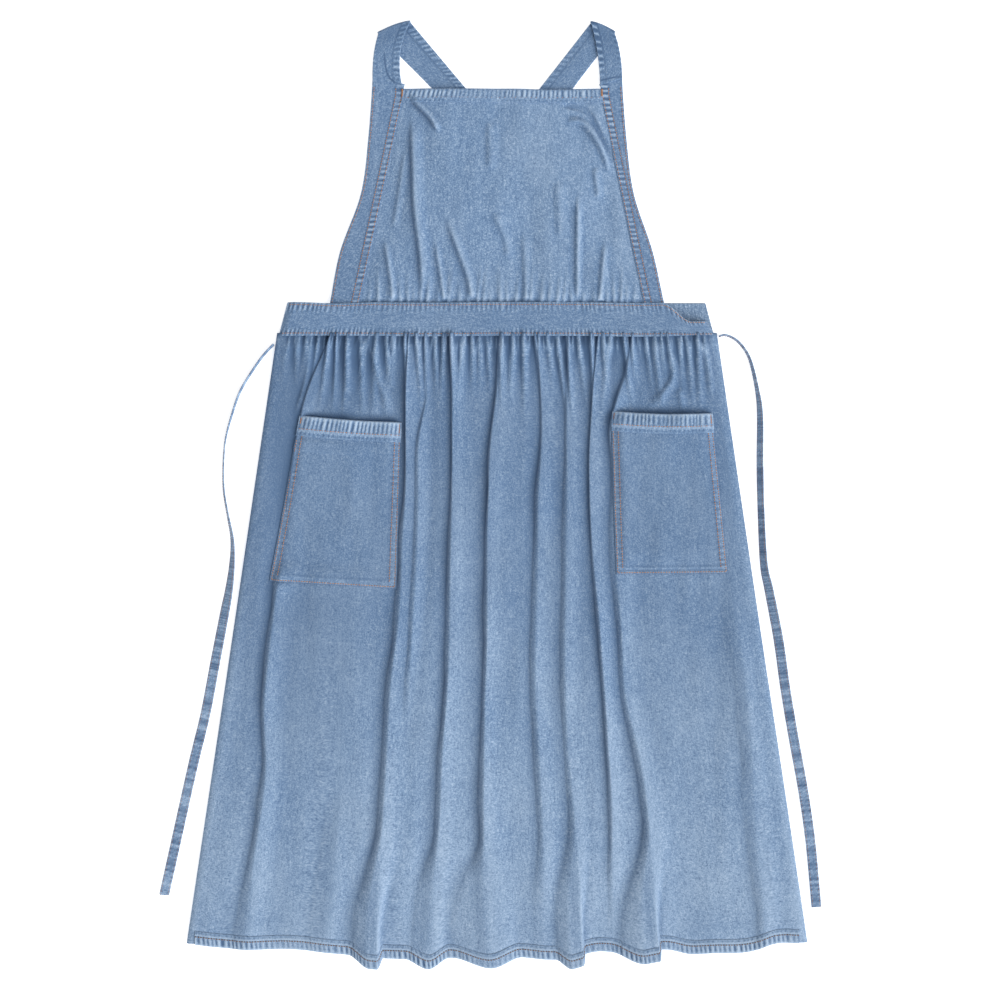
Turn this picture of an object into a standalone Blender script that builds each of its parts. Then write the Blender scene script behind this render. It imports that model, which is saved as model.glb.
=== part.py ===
"""Denim smock apron, lying flat on its back.

A pinafore apron: a gathered skirt with two patch pockets, a waistband, a gathered
bib between two side bands, shoulder straps that fold over at the top and cross
behind the bib, and two waist ties. +Y runs from the hem to the shoulders, +X to
the right of someone who looks down on the front, and +Z is up from the table.
The origin is on the table, at the middle of the apron.
"""
import math

import bmesh
import bpy
from mathutils import Matrix, Vector

MM = 0.001

# Cloth
CLOTH = 1.2 * MM                # one layer of denim
BAND = 2.4 * MM                 # a folded band, two layers and their turnings
GAP = 0.4 * MM                  # left between pieces that are sewn together

# Heights along the apron
WAIST_SEAM_Y = 198 * MM         # skirt to waistband
WAIST_TOP_Y = 238 * MM          # waistband to bib
BIB_FOLD_Y = 239 * MM           # the line that the bib folds forward on
BIB_FOLD_Z = 13.2 * MM
FOLD_CLEAR = 0.3 * MM           # left between the fold line and what turns about it
BIB_TOP_Y = 504 * MM
STRAP_SEAM_Y = 515 * MM         # side band to shoulder strap
HEM_SIDE_Y = -562 * MM          # hem at the side folds
HEM_DROP = 17 * MM              # how much lower the hem hangs at the middle
BACK_HEM_DROP = 14 * MM

# Widths
WAIST_HALF = 276 * MM
HEM_HALF = 388 * MM
BACK_OPENING_HALF = 30 * MM
BACK_INSET = 1.5 * MM           # the back panels stop this far inside the side folds

# The skirt's front lies over a hollow, the wearer's space
FRONT_FLOOR_Z = 9.8 * MM        # middle of the cloth between two folds
SIDE_ROLL = 15 * MM             # how far in the cloth turns down at a side fold
FOLD_HANG = 0.5                 # how far a fold's hem hangs down, for each height of the fold

# Each fold: its crest's x at the waist, the middle and the hem, its height at the
# middle and at the hem, and the reach of its left and right slopes at the hem
FOLDS = (
    (-214, -262, -310, 7, 10, 16, 22),
    (-108, -113, -143, 9, 24, 26, 10),
    (-52, -50, -76, 8, 17, 18, 20),
    (8, -3, -4, 8, 17, 20, 22),
    (63, 56, 64, 7, 7, 16, 18),
    (96, 92, 108, 7, 22, 22, 8),
    (126, 126, 150, 6, 9, 16, 16),
    (150, 154, 204, 8, 24, 26, 8),
    (262, 306, 340, 5, 7, 18, 20),
)
WAIST_FOLD_HEIGHT = 5           # millimetres, where the gathers start
WAIST_FOLD_REACH = 10
FOLD_GAP = 2 * MM               # flat cloth left between one fold's foot and the next
LEFT_SLOPE = ((1.0, 0.0), (0.5, 0.5), (0.15, 0.94))     # share of the reach and the height
RIGHT_SLOPE = ((0.2, 0.9), (0.55, 0.4), (1.0, 0.0))

# Pockets: x of the outer and inner edge at the top, the same at the bottom, then y
POCKET_LEFT = {"top": (-246, -120), "foot": (-284, -126), "y": (94, -114)}
POCKET_RIGHT = {"top": (146, 268), "foot": (151, 288), "y": (101, -102)}
POCKET_ROOM = 7.0 * MM          # how far the pocket stands off the skirt inside
POCKET_SEAM_GAP = 1.3 * MM      # clears the skirt's folds along the seams

# Bib: x of each side seam at the waist and the top, then of each band's outer edge at
# the waist, half way and the top, and the heights of the seams and of the crown between
BIB_LEFT = (-174, -118)
BIB_RIGHT = (185, 131)
BAND_LEFT = (-209, -170.5, -156)
BAND_RIGHT = (209, 171.5, 157)
BIB_EDGE_Z = ((239, 9.4), (300, 5.0), (380, 2.2), (470, 2.3), (504, 3.4), (540, 4.4))
BIB_CROWN_Z = ((239, 1.2), (300, 4.0), (420, 7.0), (504, 3.6))

# Bib tucks where it is gathered into the waistband, and the side bands' tilt and top end
TUCK_HEIGHT = 1.0 * MM
TUCKS = 7
TUCK_FADE = 150 * MM
BAND_LEAN = 2 * MM
BAND_TOP_SLOPE = 9 * MM

# Waistband
WAIST_FRONT_Z = 12.3 * MM
WAIST_FACING_Z = WAIST_FRONT_Z - CLOTH - GAP
WAIST_ROLL = 12 * MM            # how far in the front band turns down at its ends
WAIST_END_TOP = 263 * MM        # half the waistband's width at its top edge
WAIST_END_LOW = 274 * MM
FACING_ENDS = (-244 * MM, 204 * MM)
RIGHT_SLUMP_X = 206 * MM        # beyond here the right end of the front band has slid down
RIGHT_SLUMP_REACH = 38 * MM
RIGHT_SLUMP = 25 * MM

# Shoulder straps: both edges of the front end, then of the back end at its top and foot
STRAP_LOW_Z = 1.6 * MM          # middle of a strap that lies on the table
STRAP_HIGH_Z = 4.9 * MM         # middle of its front end, folded over on top
CROSS_Y = 420 * MM              # where one strap passes over the other
CROSS_REACH = 95 * MM
CROSS_RAMP = 50 * MM
LEFT_STRAP = {
    "front": ((-156, 519.5), (-154.5, 550), (-148.8, 576)),
    "inner": ((-119, 511.5), (-121, 553), (-108.5, 591)),
    "back": ((-81, 508), (-38.8, 508)),
    "end": (134, 177),
}
RIGHT_STRAP = {
    "front": ((157, 519.5), (154.5, 550), (147.5, 577)),
    "inner": ((129, 511.5), (126, 551), (117.5, 590)),
    "back": ((95, 508), (53.5, 508)),
    "end": (-98, -140),
}

# Bar tacks
TACK_LENGTH = 8 * MM
TACK_WIDTH = 2 * MM
TACK_HEIGHT = 0.7 * MM
TACK_GAP = 0.7 * MM             # clears the cloth's curve under the bar
TACK_ROUND = 0.25 * MM

# Waist ties, each one's middle line as (x, y, turn): 90 degrees stands it on edge, 0 lays
# it flat
TIE_WIDTH = 12.5 * MM
TIE_THICK = 1.8 * MM
TIE_STEP = 22 * MM
TIE_CLEAR = 0.4 * MM
TIE_LEFT = (
    (-279.5, 187, 90), (-290, 176, 90), (-302, 160, 90), (-321, 129, 90), (-332, 98, 88),
    (-340, 67, 84), (-342.5, 36, 80), (-342, 4, 78), (-337, -27, 75), (-331.5, -58, 66),
    (-332, -89, 52), (-336, -121, 34), (-342, -152, 18), (-354, -214, 8), (-366, -277, 4),
    (-381, -339, 2), (-402, -433, 1), (-416, -496, 0), (-417.5, -504, 0),
)
TIE_RIGHT = (
    (278.4, 197, 90), (286.5, 198.5, 90), (300, 192, 90), (312, 178, 88), (319, 161, 84),
    (326, 129, 76), (329.5, 98, 62), (329.5, 36, 56), (331, -27, 56), (334.5, -89, 48),
    (341, -121, 34), (353, -183, 20), (362, -246, 12), (372.5, -308, 8), (384, -371, 4),
    (393, -433, 2), (399, -496, 0), (401, -519, 0),
)

DENIM = (0.24, 0.34, 0.50)
DENIM_PALE = (0.30, 0.42, 0.58)
DENIM_SHADE = (0.17, 0.25, 0.38)
THREAD = (0.36, 0.17, 0.08)


def start_empty():
    for old in list(bpy.data.objects):
        bpy.data.objects.remove(old)
    parts = bpy.data.collections.new("artist_smock_apron")
    bpy.context.scene.collection.children.link(parts)
    return parts


def material(name, colour, roughness=0.9):
    made = bpy.data.materials.new(name)
    made.use_nodes = True
    shader = made.node_tree.nodes["Principled BSDF"]
    shader.inputs["Base Color"].default_value = (*colour, 1.0)
    shader.inputs["Roughness"].default_value = roughness
    shader.inputs["Metallic"].default_value = 0.0
    return made


def along(stops, where):
    """Value at a place between stops (place, value), eased through each one."""
    if where <= stops[0][0]:
        return stops[0][1]
    for (low, a), (high, b) in zip(stops, stops[1:]):
        if where <= high:
            part = (where - low) / (high - low)
            return a + (b - a) * part * part * (3 - 2 * part)
    return stops[-1][1]


def ease(part):
    part = min(max(part, 0.0), 1.0)
    return part * part * (3 - 2 * part)


def smooth_line(points, step):
    """Points at an even step along a smooth curve through the given ones."""
    ends = [2 * points[0] - points[1], *points, 2 * points[-1] - points[-2]]
    fine = []
    for p0, p1, p2, p3 in zip(ends, ends[1:], ends[2:], ends[3:]):
        for k in range(12):
            t = k / 12
            fine.append(0.5 * (2 * p1 + (p2 - p0) * t + (2 * p0 - 5 * p1 + 4 * p2 - p3) * t ** 2
                               + (3 * p1 - p0 - 3 * p2 + p3) * t ** 3))
    fine.append(points[-1])
    length = sum((b - a).length for a, b in zip(fine, fine[1:]))
    count = max(2, round(length / step))
    line = [fine[0]]
    run = 0.0
    for a, b in zip(fine, fine[1:]):
        size = (b - a).length
        while run + size >= len(line) * length / count - 1e-9 and len(line) < count:
            line.append(a.lerp(b, (len(line) * length / count - run) / size))
        run += size
    line.append(fine[-1])
    return line


def hinge_line(parts, name, spot):
    """An empty on a fold or swing line, which the pieces that move about it hang from."""
    line = bpy.data.objects.new(name, None)
    line.empty_display_size = 30 * MM
    line.location = spot
    parts.objects.link(line)
    return line


def hang(piece, line):
    piece.parent = line
    piece.matrix_parent_inverse = Matrix.Translation(-line.location)


def sheet(parts, name, columns, rows, place, thickness, look):
    """A cloth piece: a grid set out by place(column, row), then given its thickness."""
    mesh = bmesh.new()
    bmesh.ops.create_grid(mesh, x_segments=columns, y_segments=rows, size=0.5)
    for vert in mesh.verts:
        column = round((vert.co.x + 0.5) * columns)
        row = round((vert.co.y + 0.5) * rows)
        vert.co = place(column, row)
    data = bpy.data.meshes.new(name)
    mesh.to_mesh(data)
    mesh.free()
    data.shade_smooth()
    data.materials.append(look)
    piece = bpy.data.objects.new(name, data)
    parts.objects.link(piece)
    wall = piece.modifiers.new("cloth", "SOLIDIFY")
    wall.thickness = thickness
    wall.offset = 0.0
    wall.use_even_offset = True
    return piece


# ---- skirt ---------------------------------------------------------------------------

def skirt_half(down):
    return WAIST_HALF + (HEM_HALF - WAIST_HALF) * down


def hem_y(x, drop):
    return HEM_SIDE_Y - drop * (1 - min(abs(x) / HEM_HALF, 1.0) ** 2.5)


def three_points(first, middle, last, part):
    """A curve through three values, at the start, half way and the end."""
    return (first * (1 - part) * (1 - 2 * part) + middle * 4 * part * (1 - part)
            + last * part * (2 * part - 1))


def front_profile(down):
    """The skirt front's cross-section, left to right, as (x, height above the flats)."""
    half = skirt_half(down)
    profile = []
    for k in range(5):
        turn = math.radians(90 * k / 5)
        fall = (math.sin(turn) - 1) * (FRONT_FLOOR_Z - side_z())
        profile.append((-half + SIDE_ROLL * (1 - math.cos(turn)), fall))
    right_side = [(-x, z) for x, z in reversed(profile)]
    last_foot = -half + SIDE_ROLL
    for top_x, mid_x, hem_x, mid_h, hem_h, left, right in FOLDS:
        crest = three_points(top_x, mid_x, hem_x, down) * MM
        rise = along(((0.0, WAIST_FOLD_HEIGHT), (0.5, mid_h), (1.0, hem_h)), down) * MM
        reach_left = (WAIST_FOLD_REACH + (left - WAIST_FOLD_REACH) * down) * MM
        reach_left = min(reach_left, crest - last_foot - FOLD_GAP)
        reach_right = (WAIST_FOLD_REACH + (right - WAIST_FOLD_REACH) * down) * MM
        profile.append(((last_foot + crest - reach_left) / 2, 0.0))
        profile += [(crest - reach_left * out, rise * up) for out, up in LEFT_SLOPE]
        profile += [(crest + reach_right * out, rise * up) for out, up in RIGHT_SLOPE]
        last_foot = crest + reach_right
    profile.append(((last_foot + half - SIDE_ROLL) / 2, 0.0))
    return profile + right_side


def side_z():
    """Middle of the front's cloth where it meets the back panel at a side fold."""
    return CLOTH * 1.5 + GAP


def front_z(x, y):
    """Height of the middle of the skirt front's cloth."""
    down = (WAIST_SEAM_Y - y) / (WAIST_SEAM_Y - hem_y(x, HEM_DROP))
    profile = front_profile(min(max(down, 0.0), 1.0))
    for (x0, z0), (x1, z1) in zip(profile, profile[1:]):
        if x0 <= x <= x1:
            return FRONT_FLOOR_Z + z0 + (z1 - z0) * (x - x0) / (x1 - x0)
    return FRONT_FLOOR_Z


def add_skirt(parts):
    denim = material("denim_skirt", DENIM)
    columns = len(front_profile(0.0)) - 1
    rows = 13

    def front(column, row):
        down = 1 - row / rows
        x, z = front_profile(down)[column]
        top = WAIST_SEAM_Y - GAP
        foot = hem_y(x, HEM_DROP) - max(z, 0.0) * FOLD_HANG
        return Vector((x, top + (foot - top) * down, FRONT_FLOOR_Z + z))

    sheet(parts, "skirt_front", columns, rows, front, CLOTH, denim)

    back = material("denim_skirt_back", DENIM_SHADE)
    for side, name in ((-1, "skirt_back_left"), (1, "skirt_back_right")):
        def panel(column, row, side=side):
            down = 1 - row / 10
            inner = BACK_OPENING_HALF
            outer = skirt_half(down) - BACK_INSET
            part = column / 8 if side > 0 else 1 - column / 8
            x = side * (inner + (outer - inner) * part)
            top = WAIST_SEAM_Y - GAP
            return Vector((x, top + (hem_y(x, BACK_HEM_DROP) - top) * down, CLOTH / 2))
        sheet(parts, name, 8, 10, panel, CLOTH, back)


# ---- waistband -----------------------------------------------------------------------

def waist_end(y):
    """Half width of the waistband at a height."""
    fall = (WAIST_TOP_Y - y) / (WAIST_TOP_Y - WAIST_SEAM_Y)
    return WAIST_END_TOP + (WAIST_END_LOW - WAIST_END_TOP) * fall


def add_waistband(parts):
    denim = material("denim_waistband", DENIM)
    shade = material("denim_waistband_back", DENIM_SHADE)
    columns, rows = 34, 4
    end_z = BAND + GAP + CLOTH / 2

    def outer(column, row):
        across = column / columns * 2 - 1
        y = WAIST_SEAM_Y + (WAIST_TOP_Y - WAIST_SEAM_Y) * row / rows
        half = waist_end(y)
        x = half * math.sin(across * math.pi / 2) * 0.35 + half * across * 0.65
        inset = max(0.0, 1 - (half - abs(x)) / WAIST_ROLL)
        z = end_z + (WAIST_FRONT_Z - end_z) * math.sqrt(1 - min(inset, 1.0) ** 2)
        slump = RIGHT_SLUMP * ease((x - RIGHT_SLUMP_X) / RIGHT_SLUMP_REACH) * row / rows
        return Vector((x, y - slump, z))

    sheet(parts, "waistband_outer", columns, rows, outer, CLOTH, denim)

    def facing(column, row):
        x = FACING_ENDS[0] + (FACING_ENDS[1] - FACING_ENDS[0]) * column / 10
        y = WAIST_SEAM_Y + (WAIST_TOP_Y - WAIST_SEAM_Y) * row / 2
        return Vector((x, y, WAIST_FACING_Z))

    sheet(parts, "waistband_facing", 10, 2, facing, CLOTH, shade)

    for side, name in ((-1, "waistband_back_left"), (1, "waistband_back_right")):
        def back(column, row, side=side):
            y = WAIST_SEAM_Y + (WAIST_TOP_Y - WAIST_SEAM_Y) * row / 2
            part = column / 6 if side > 0 else 1 - column / 6
            x = side * (BACK_OPENING_HALF + (waist_end(y) - BACK_INSET - BACK_OPENING_HALF) * part)
            return Vector((x, y, BAND / 2))
        sheet(parts, name, 6, 2, back, BAND, shade)


# ---- bib -----------------------------------------------------------------------------

def bib_part(y):
    return (y - WAIST_TOP_Y) / (BIB_TOP_Y - WAIST_TOP_Y)


def bib_edge_z(y):
    return along(BIB_EDGE_Z, y / MM) * MM


def bib_seam_x(side, y):
    foot, top = BIB_LEFT if side < 0 else BIB_RIGHT
    return (foot + (top - foot) * bib_part(y)) * MM


def bib_gather(across, y):
    """The small tucks where the bib is gathered into the waistband."""
    fade = max(0.0, 1 - (y - WAIST_TOP_Y) / TUCK_FADE) ** 1.5
    ends = 1 - abs(2 * across - 1) ** 4
    return TUCK_HEIGHT * math.sin(across * math.pi * 2 * TUCKS) * fade * ends


def add_bib(parts, fold_line):
    denim = material("denim_bib", DENIM_PALE)
    columns, rows = 28, 14
    foot_y = BIB_FOLD_Y + FOLD_CLEAR

    def panel(column, row):
        across = column / columns
        y = foot_y + (BIB_TOP_Y - foot_y) * row / rows
        left = bib_seam_x(-1, y) + GAP
        right = bib_seam_x(1, y) - GAP
        crown = along(BIB_CROWN_Z, y / MM) * MM * (1 - abs(2 * across - 1) ** 3)
        height = bib_edge_z(y) + crown + bib_gather(across, y)
        return Vector((left + (right - left) * across, y, height))

    hang(sheet(parts, "bib_panel", columns, rows, panel, CLOTH, denim), fold_line)

    band = material("denim_side_band", DENIM)
    for side, name in ((-1, "side_band_left"), (1, "side_band_right")):
        outline = BAND_LEFT if side < 0 else BAND_RIGHT

        def strip(column, row, side=side, outline=outline):
            part = column / 4 if side > 0 else 1 - column / 4
            y = foot_y + (STRAP_SEAM_Y - foot_y) * row / 16
            inner = bib_seam_x(side, y) + side * GAP
            outer = three_points(*outline, row / 16) * MM
            x = inner + (outer - inner) * part
            lean = BAND_LEAN * part * (1 - row / 16)
            slope = BAND_TOP_SLOPE * (part - 0.5)
            slope *= ease((y - BIB_TOP_Y) / (STRAP_SEAM_Y - BIB_TOP_Y))
            return Vector((x, y + slope, max(bib_edge_z(y) - lean, BAND * 0.65)))
        hang(sheet(parts, name, 4, 16, strip, BAND, band), fold_line)


# ---- shoulder straps -------------------------------------------------------------------

def strap_rail(points):
    return [Vector((x * MM, y * MM, 0.0)) for x, y in points]


def add_straps(parts, fold_line):
    denim = material("denim_strap", DENIM_SHADE)
    for name, strap, over in (("shoulder_strap_left", LEFT_STRAP, 0.0),
                              ("shoulder_strap_right", RIGHT_STRAP, 1.0)):
        edges = []
        outer, inner = strap_rail(strap["front"]), strap_rail(strap["inner"])
        for rail, behind, end in ((outer, strap["back"][0], strap["end"][0]),
                                  (inner, strap["back"][1], strap["end"][1])):
            line = []
            seam_z = bib_edge_z(STRAP_SEAM_Y)
            for k in range(7):
                part = k / 6
                spot = rail[0] * (1 - part) * (1 - 2 * part) + rail[1] * 4 * part * (1 - part)
                spot = spot + rail[2] * part * (2 * part - 1)
                spot.z = seam_z + (STRAP_HIGH_Z - seam_z) * ease(part)
                line.append(spot)
            crease = (inner[2] - outer[2]).normalized()
            out = Vector((-crease.y, crease.x, 0.0))
            out = out if out.y > 0 else -out
            middle_z = (STRAP_HIGH_Z + STRAP_LOW_Z) / 2
            radius = (STRAP_HIGH_Z - STRAP_LOW_Z) / 2
            for k in range(1, 6):
                turn = math.radians(90 - 180 * k / 6)
                spot = rail[2] + out * radius * math.cos(turn)
                spot.z = middle_z + radius * math.sin(turn)
                line.append(spot)
            top, low = rail[2].xy, Vector(behind) * MM
            end_y = BIB_FOLD_Y + FOLD_CLEAR
            for k in range(17):
                part = k / 16
                if part < 0.25:
                    spot = top.lerp(low, part / 0.25)
                else:
                    spot = low.lerp(Vector((end * MM, end_y)), (part - 0.25) / 0.75)
                hump = ease((CROSS_REACH - abs(spot.y - CROSS_Y)) / CROSS_RAMP) * over
                line.append(Vector((spot.x, spot.y, STRAP_LOW_Z + hump * (BAND + GAP))))
            edges.append(line)
        steps = len(edges[0]) - 1

        def place(column, row, edges=edges):
            return edges[0][row].lerp(edges[1][row], column / 2)
        hang(sheet(parts, name, 2, steps, place, BAND, denim), fold_line)


# ---- pockets ---------------------------------------------------------------------------

def pocket_point(pocket, across, down, lift):
    """A point of a pocket: across from left to right, down from the mouth."""
    left = pocket["top"][0] + (pocket["foot"][0] - pocket["top"][0]) * down
    right = pocket["top"][1] + (pocket["foot"][1] - pocket["top"][1]) * down
    x = (left + (right - left) * across) * MM
    y = (pocket["y"][0] + (pocket["y"][1] - pocket["y"][0]) * down) * MM
    return Vector((x, y, front_z(x, y) + lift))


def pocket_lift(across, down):
    """How high the pocket's cloth stands over the skirt's, sewn down at sides and foot."""
    seam = CLOTH + POCKET_SEAM_GAP
    sides = min(1.0, min(across, 1 - across) / 0.1)
    foot = min(1.0, (1 - down) / 0.08)
    return seam + POCKET_ROOM * math.sin(sides * math.pi / 2) * math.sin(foot * math.pi / 2)


def add_pockets(parts):
    denim = material("denim_pocket", DENIM)
    spacing = (0.0, 0.03, 0.1, 0.2, 0.35, 0.5, 0.65, 0.8, 0.9, 0.97, 1.0)
    falls = (1.0, 0.97, 0.92, 0.8, 0.6, 0.4, 0.2, 0.0)
    for name, pocket in (("pocket_left", POCKET_LEFT), ("pocket_right", POCKET_RIGHT)):
        def place(column, row, pocket=pocket):
            across, down = spacing[column], falls[row]
            return pocket_point(pocket, across, down, pocket_lift(across, down))
        sheet(parts, name, len(spacing) - 1, len(falls) - 1, place, CLOTH, denim)


# ---- bar tacks -------------------------------------------------------------------------

def bar_tack(parts, name, start, end, side, lift, look):
    """A short bar of close thread over a seam's end, laid along start to end on the cloth."""
    along_bar = (end - start).normalized()
    up = along_bar.cross(side).normalized()
    up = up if up.z > 0 else -up
    turned = Matrix((along_bar, up.cross(along_bar), up)).transposed().to_4x4()
    spot = (start + end) / 2 + up * (lift + TACK_HEIGHT / 2)
    mesh = bmesh.new()
    bmesh.ops.create_cube(mesh, size=1.0)
    bmesh.ops.scale(mesh, vec=(TACK_LENGTH, TACK_WIDTH, TACK_HEIGHT), verts=mesh.verts)
    data = bpy.data.meshes.new(name)
    mesh.to_mesh(data)
    mesh.free()
    data.materials.append(look)
    tack = bpy.data.objects.new(name, data)
    tack.matrix_world = Matrix.Translation(spot) @ turned
    parts.objects.link(tack)
    edge = tack.modifiers.new("rounded", "BEVEL")
    edge.width = TACK_ROUND
    edge.segments = 1
    return tack


def add_bar_tacks(parts, fold_line):
    thread = material("thread", THREAD, 0.7)
    for pocket, side in ((POCKET_LEFT, "left"), (POCKET_RIGHT, "right")):
        for low, high, place in ((0.03, 0.1, "outer" if side == "left" else "inner"),
                                 (0.97, 0.9, "inner" if side == "left" else "outer")):
            start = pocket_point(pocket, low, 0.03, pocket_lift(low, 0.03))
            end = pocket_point(pocket, high, 0.03, pocket_lift(high, 0.03))
            aside = pocket_point(pocket, low, 0.1, pocket_lift(low, 0.1)) - start
            name = f"bar_tack_pocket_{side}_{place}"
            bar_tack(parts, name, start, end, aside, CLOTH / 2 + TACK_GAP, thread)
    for side, name in ((-1, "bar_tack_bib_left"), (1, "bar_tack_bib_right")):
        start, end = (Vector((bib_seam_x(side, y), y, bib_edge_z(y)))
                      for y in (BIB_TOP_Y - 11 * MM, BIB_TOP_Y - 1 * MM))
        tack = bar_tack(parts, name, start, end, Vector((1, 0, 0)), BAND / 2 + TACK_GAP, thread)
        hang(tack, fold_line)


# ---- waist ties ------------------------------------------------------------------------

def add_ties(parts):
    denim = material("denim_tie", DENIM)
    for name, route in (("waist_tie_left", TIE_LEFT), ("waist_tie_right", TIE_RIGHT)):
        points = []
        for x, y, turn in route:
            lean = math.radians(turn)
            reach = (TIE_WIDTH * abs(math.sin(lean)) + TIE_THICK * abs(math.cos(lean))) / 2
            points.append(Vector((x * MM, y * MM, reach + TIE_CLEAR, lean)))
        line = smooth_line(points, TIE_STEP)
        curve = bpy.data.curves.new(name, "CURVE")
        curve.dimensions = "3D"
        curve.twist_mode = "Z_UP"
        curve.extrude = TIE_WIDTH / 2 - TIE_THICK / 2
        curve.bevel_depth = TIE_THICK / 2
        curve.bevel_resolution = 0
        curve.use_fill_caps = True
        spline = curve.splines.new("POLY")
        spline.points.add(len(line) - 1)
        for point, spot in zip(spline.points, line):
            point.co = (spot.x, spot.y, spot.z, 1.0)
            point.tilt = math.pi / 2 - spot.w
        curve.materials.append(denim)
        tie = bpy.data.objects.new(name, curve)
        parts.objects.link(tie)
        root = line[0]
        hang(tie, hinge_line(parts, name + "_swing_line", (root.x, root.y, 0.0)))


def main():
    parts = start_empty()
    add_skirt(parts)
    add_waistband(parts)
    fold_line = hinge_line(parts, "bib_fold_line", (0.0, BIB_FOLD_Y, BIB_FOLD_Z))
    add_bib(parts, fold_line)
    add_straps(parts, fold_line)
    add_pockets(parts)
    add_bar_tacks(parts, fold_line)
    add_ties(parts)


main()
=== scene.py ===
"""Denim smock apron: cloth, seams, stitching and stage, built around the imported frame."""
import math

import bmesh
import bpy
import numpy as np
from bpy.props import FloatProperty, FloatVectorProperty, PointerProperty
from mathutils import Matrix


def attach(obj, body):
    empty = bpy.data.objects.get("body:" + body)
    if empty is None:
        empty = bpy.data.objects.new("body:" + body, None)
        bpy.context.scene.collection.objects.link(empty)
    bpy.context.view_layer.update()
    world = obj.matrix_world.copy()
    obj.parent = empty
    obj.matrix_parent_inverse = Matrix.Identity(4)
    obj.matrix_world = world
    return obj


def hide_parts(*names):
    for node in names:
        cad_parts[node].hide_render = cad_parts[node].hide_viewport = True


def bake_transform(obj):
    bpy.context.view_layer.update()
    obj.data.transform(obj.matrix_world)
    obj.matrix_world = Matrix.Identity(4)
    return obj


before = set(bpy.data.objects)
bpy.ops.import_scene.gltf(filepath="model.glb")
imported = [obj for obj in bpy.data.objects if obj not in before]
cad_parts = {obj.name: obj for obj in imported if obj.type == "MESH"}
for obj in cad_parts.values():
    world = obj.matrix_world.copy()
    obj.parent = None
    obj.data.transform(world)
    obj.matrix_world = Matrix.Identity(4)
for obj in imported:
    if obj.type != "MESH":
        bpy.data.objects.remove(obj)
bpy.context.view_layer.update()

bl_info = {
    "name": "Denim smock apron",
    "version": (1, 0, 0),
    "blender": (4, 5, 0),
    "location": "View3D > Sidebar > Apron",
    "description": "Builds a washed denim pinafore apron with gathers, pockets, straps and ties",
    "category": "Add Mesh",
}

MM = 0.001
UP = (0, 0, 1)
SKIRT, BIB, TIE_LEFT, TIE_RIGHT = "skirt", "bib", "tie_left", "tie_right"


# ---- settings --------------------------------------------------------------------------

def length_setting(name, description, usual, low, high):
    """A setting for a length, given in millimetres."""
    return FloatProperty(name=name, description=description, default=usual * MM, min=low * MM,
                         max=high * MM, unit="LENGTH")


def scale_setting(name, description, high):
    """A setting that scales something from nothing up to high times its usual size."""
    return FloatProperty(name=name, description=description, default=1.0, min=0.0, max=high,
                         subtype="FACTOR")


def colour_setting(name, description, usual):
    """A setting for a colour."""
    return FloatVectorProperty(name=name, description=description, default=usual, size=3,
                               min=0.0, max=1.0, subtype="COLOR")


class ApronCloth(bpy.types.PropertyGroup):
    """Sizes of the cloth, its seams and its stitches."""
    thickness: length_setting("Cloth thickness", "One layer of denim", 1.0, 0.3, 3)
    hem: length_setting("Hem", "Depth of the skirt's turned hem", 11, 4, 40)
    pocket_hem: length_setting("Pocket hem", "Depth of the pockets' turned hem", 15.5, 4, 40)
    bib_hem: length_setting("Bib hem", "Depth of the bib's turned hem", 10, 4, 40)
    pucker_depth: length_setting("Pucker depth", "Height of the hems' puckers", 0.55, 0, 2)
    stitch_length: length_setting("Stitch length", "Thread that shows in one stitch", 2.7, 1, 8)
    stitch_pitch: length_setting("Stitch pitch", "From one stitch to the next", 3.3, 1.2, 10)
    thread: length_setting("Thread width", "Width of the topstitching thread", 1.0, 0.2, 2)


class ApronFolds(bpy.types.PropertyGroup):
    """How strongly the skirt and the bib fold."""
    skirt: scale_setting("Skirt folds", "Scales the height of the skirt's long folds", 1.6)
    gathers: scale_setting("Gathers", "Scales the gathers along the skirt's waist seam", 2.0)
    bib: scale_setting("Bib folds", "Scales the folds of the bib", 1.6)


class ApronLooks(bpy.types.PropertyGroup):
    """Colours of the denim and its thread."""
    denim: colour_setting("Denim", "Washed denim, away from seams", (0.150, 0.250, 0.415))
    # Also used for painted shade.
    deep: colour_setting("Deep denim", "Where the dye has stayed", (0.070, 0.130, 0.240))
    # Also used for painted light and painted highlight.
    worn_and_lit: colour_setting("Worn denim", "Rubbed edges and seam puckers", (0.43, 0.55, 0.70))
    inside: colour_setting("Inside", "The cloth's duller inner face", (0.165, 0.255, 0.395))
    thread: colour_setting("Thread", "Topstitching thread", (0.340, 0.160, 0.075))


class ApronStage(bpy.types.PropertyGroup):
    """Floor, light and camera."""
    floor: colour_setting("Floor", "Colour of the floor", (0.93, 0.93, 0.93))
    fill: FloatProperty(
        name="Fill", description="Strength of the light from all around", default=0.50, min=0.0)
    key: FloatProperty(
        name="Key", description="Strength of the soft light from the lower right", default=3.1,
        min=0.0)
    key_turn: FloatProperty(
        name="Key direction", description="Where the soft light comes from, seen from above",
        default=math.radians(-38), unit="ROTATION")
    key_rise: FloatProperty(
        name="Key height", description="Angle of the soft light above the floor",
        default=math.radians(38), unit="ROTATION")
    distance: FloatProperty(
        name="Camera height", description="Camera above the floor", default=2.4, min=0.5,
        unit="LENGTH")
    view: FloatProperty(
        name="View width", description="Floor that the camera sees across", default=1.2505,
        min=0.1, unit="LENGTH")


# ---- shader maths ----------------------------------------------------------------------

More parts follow.
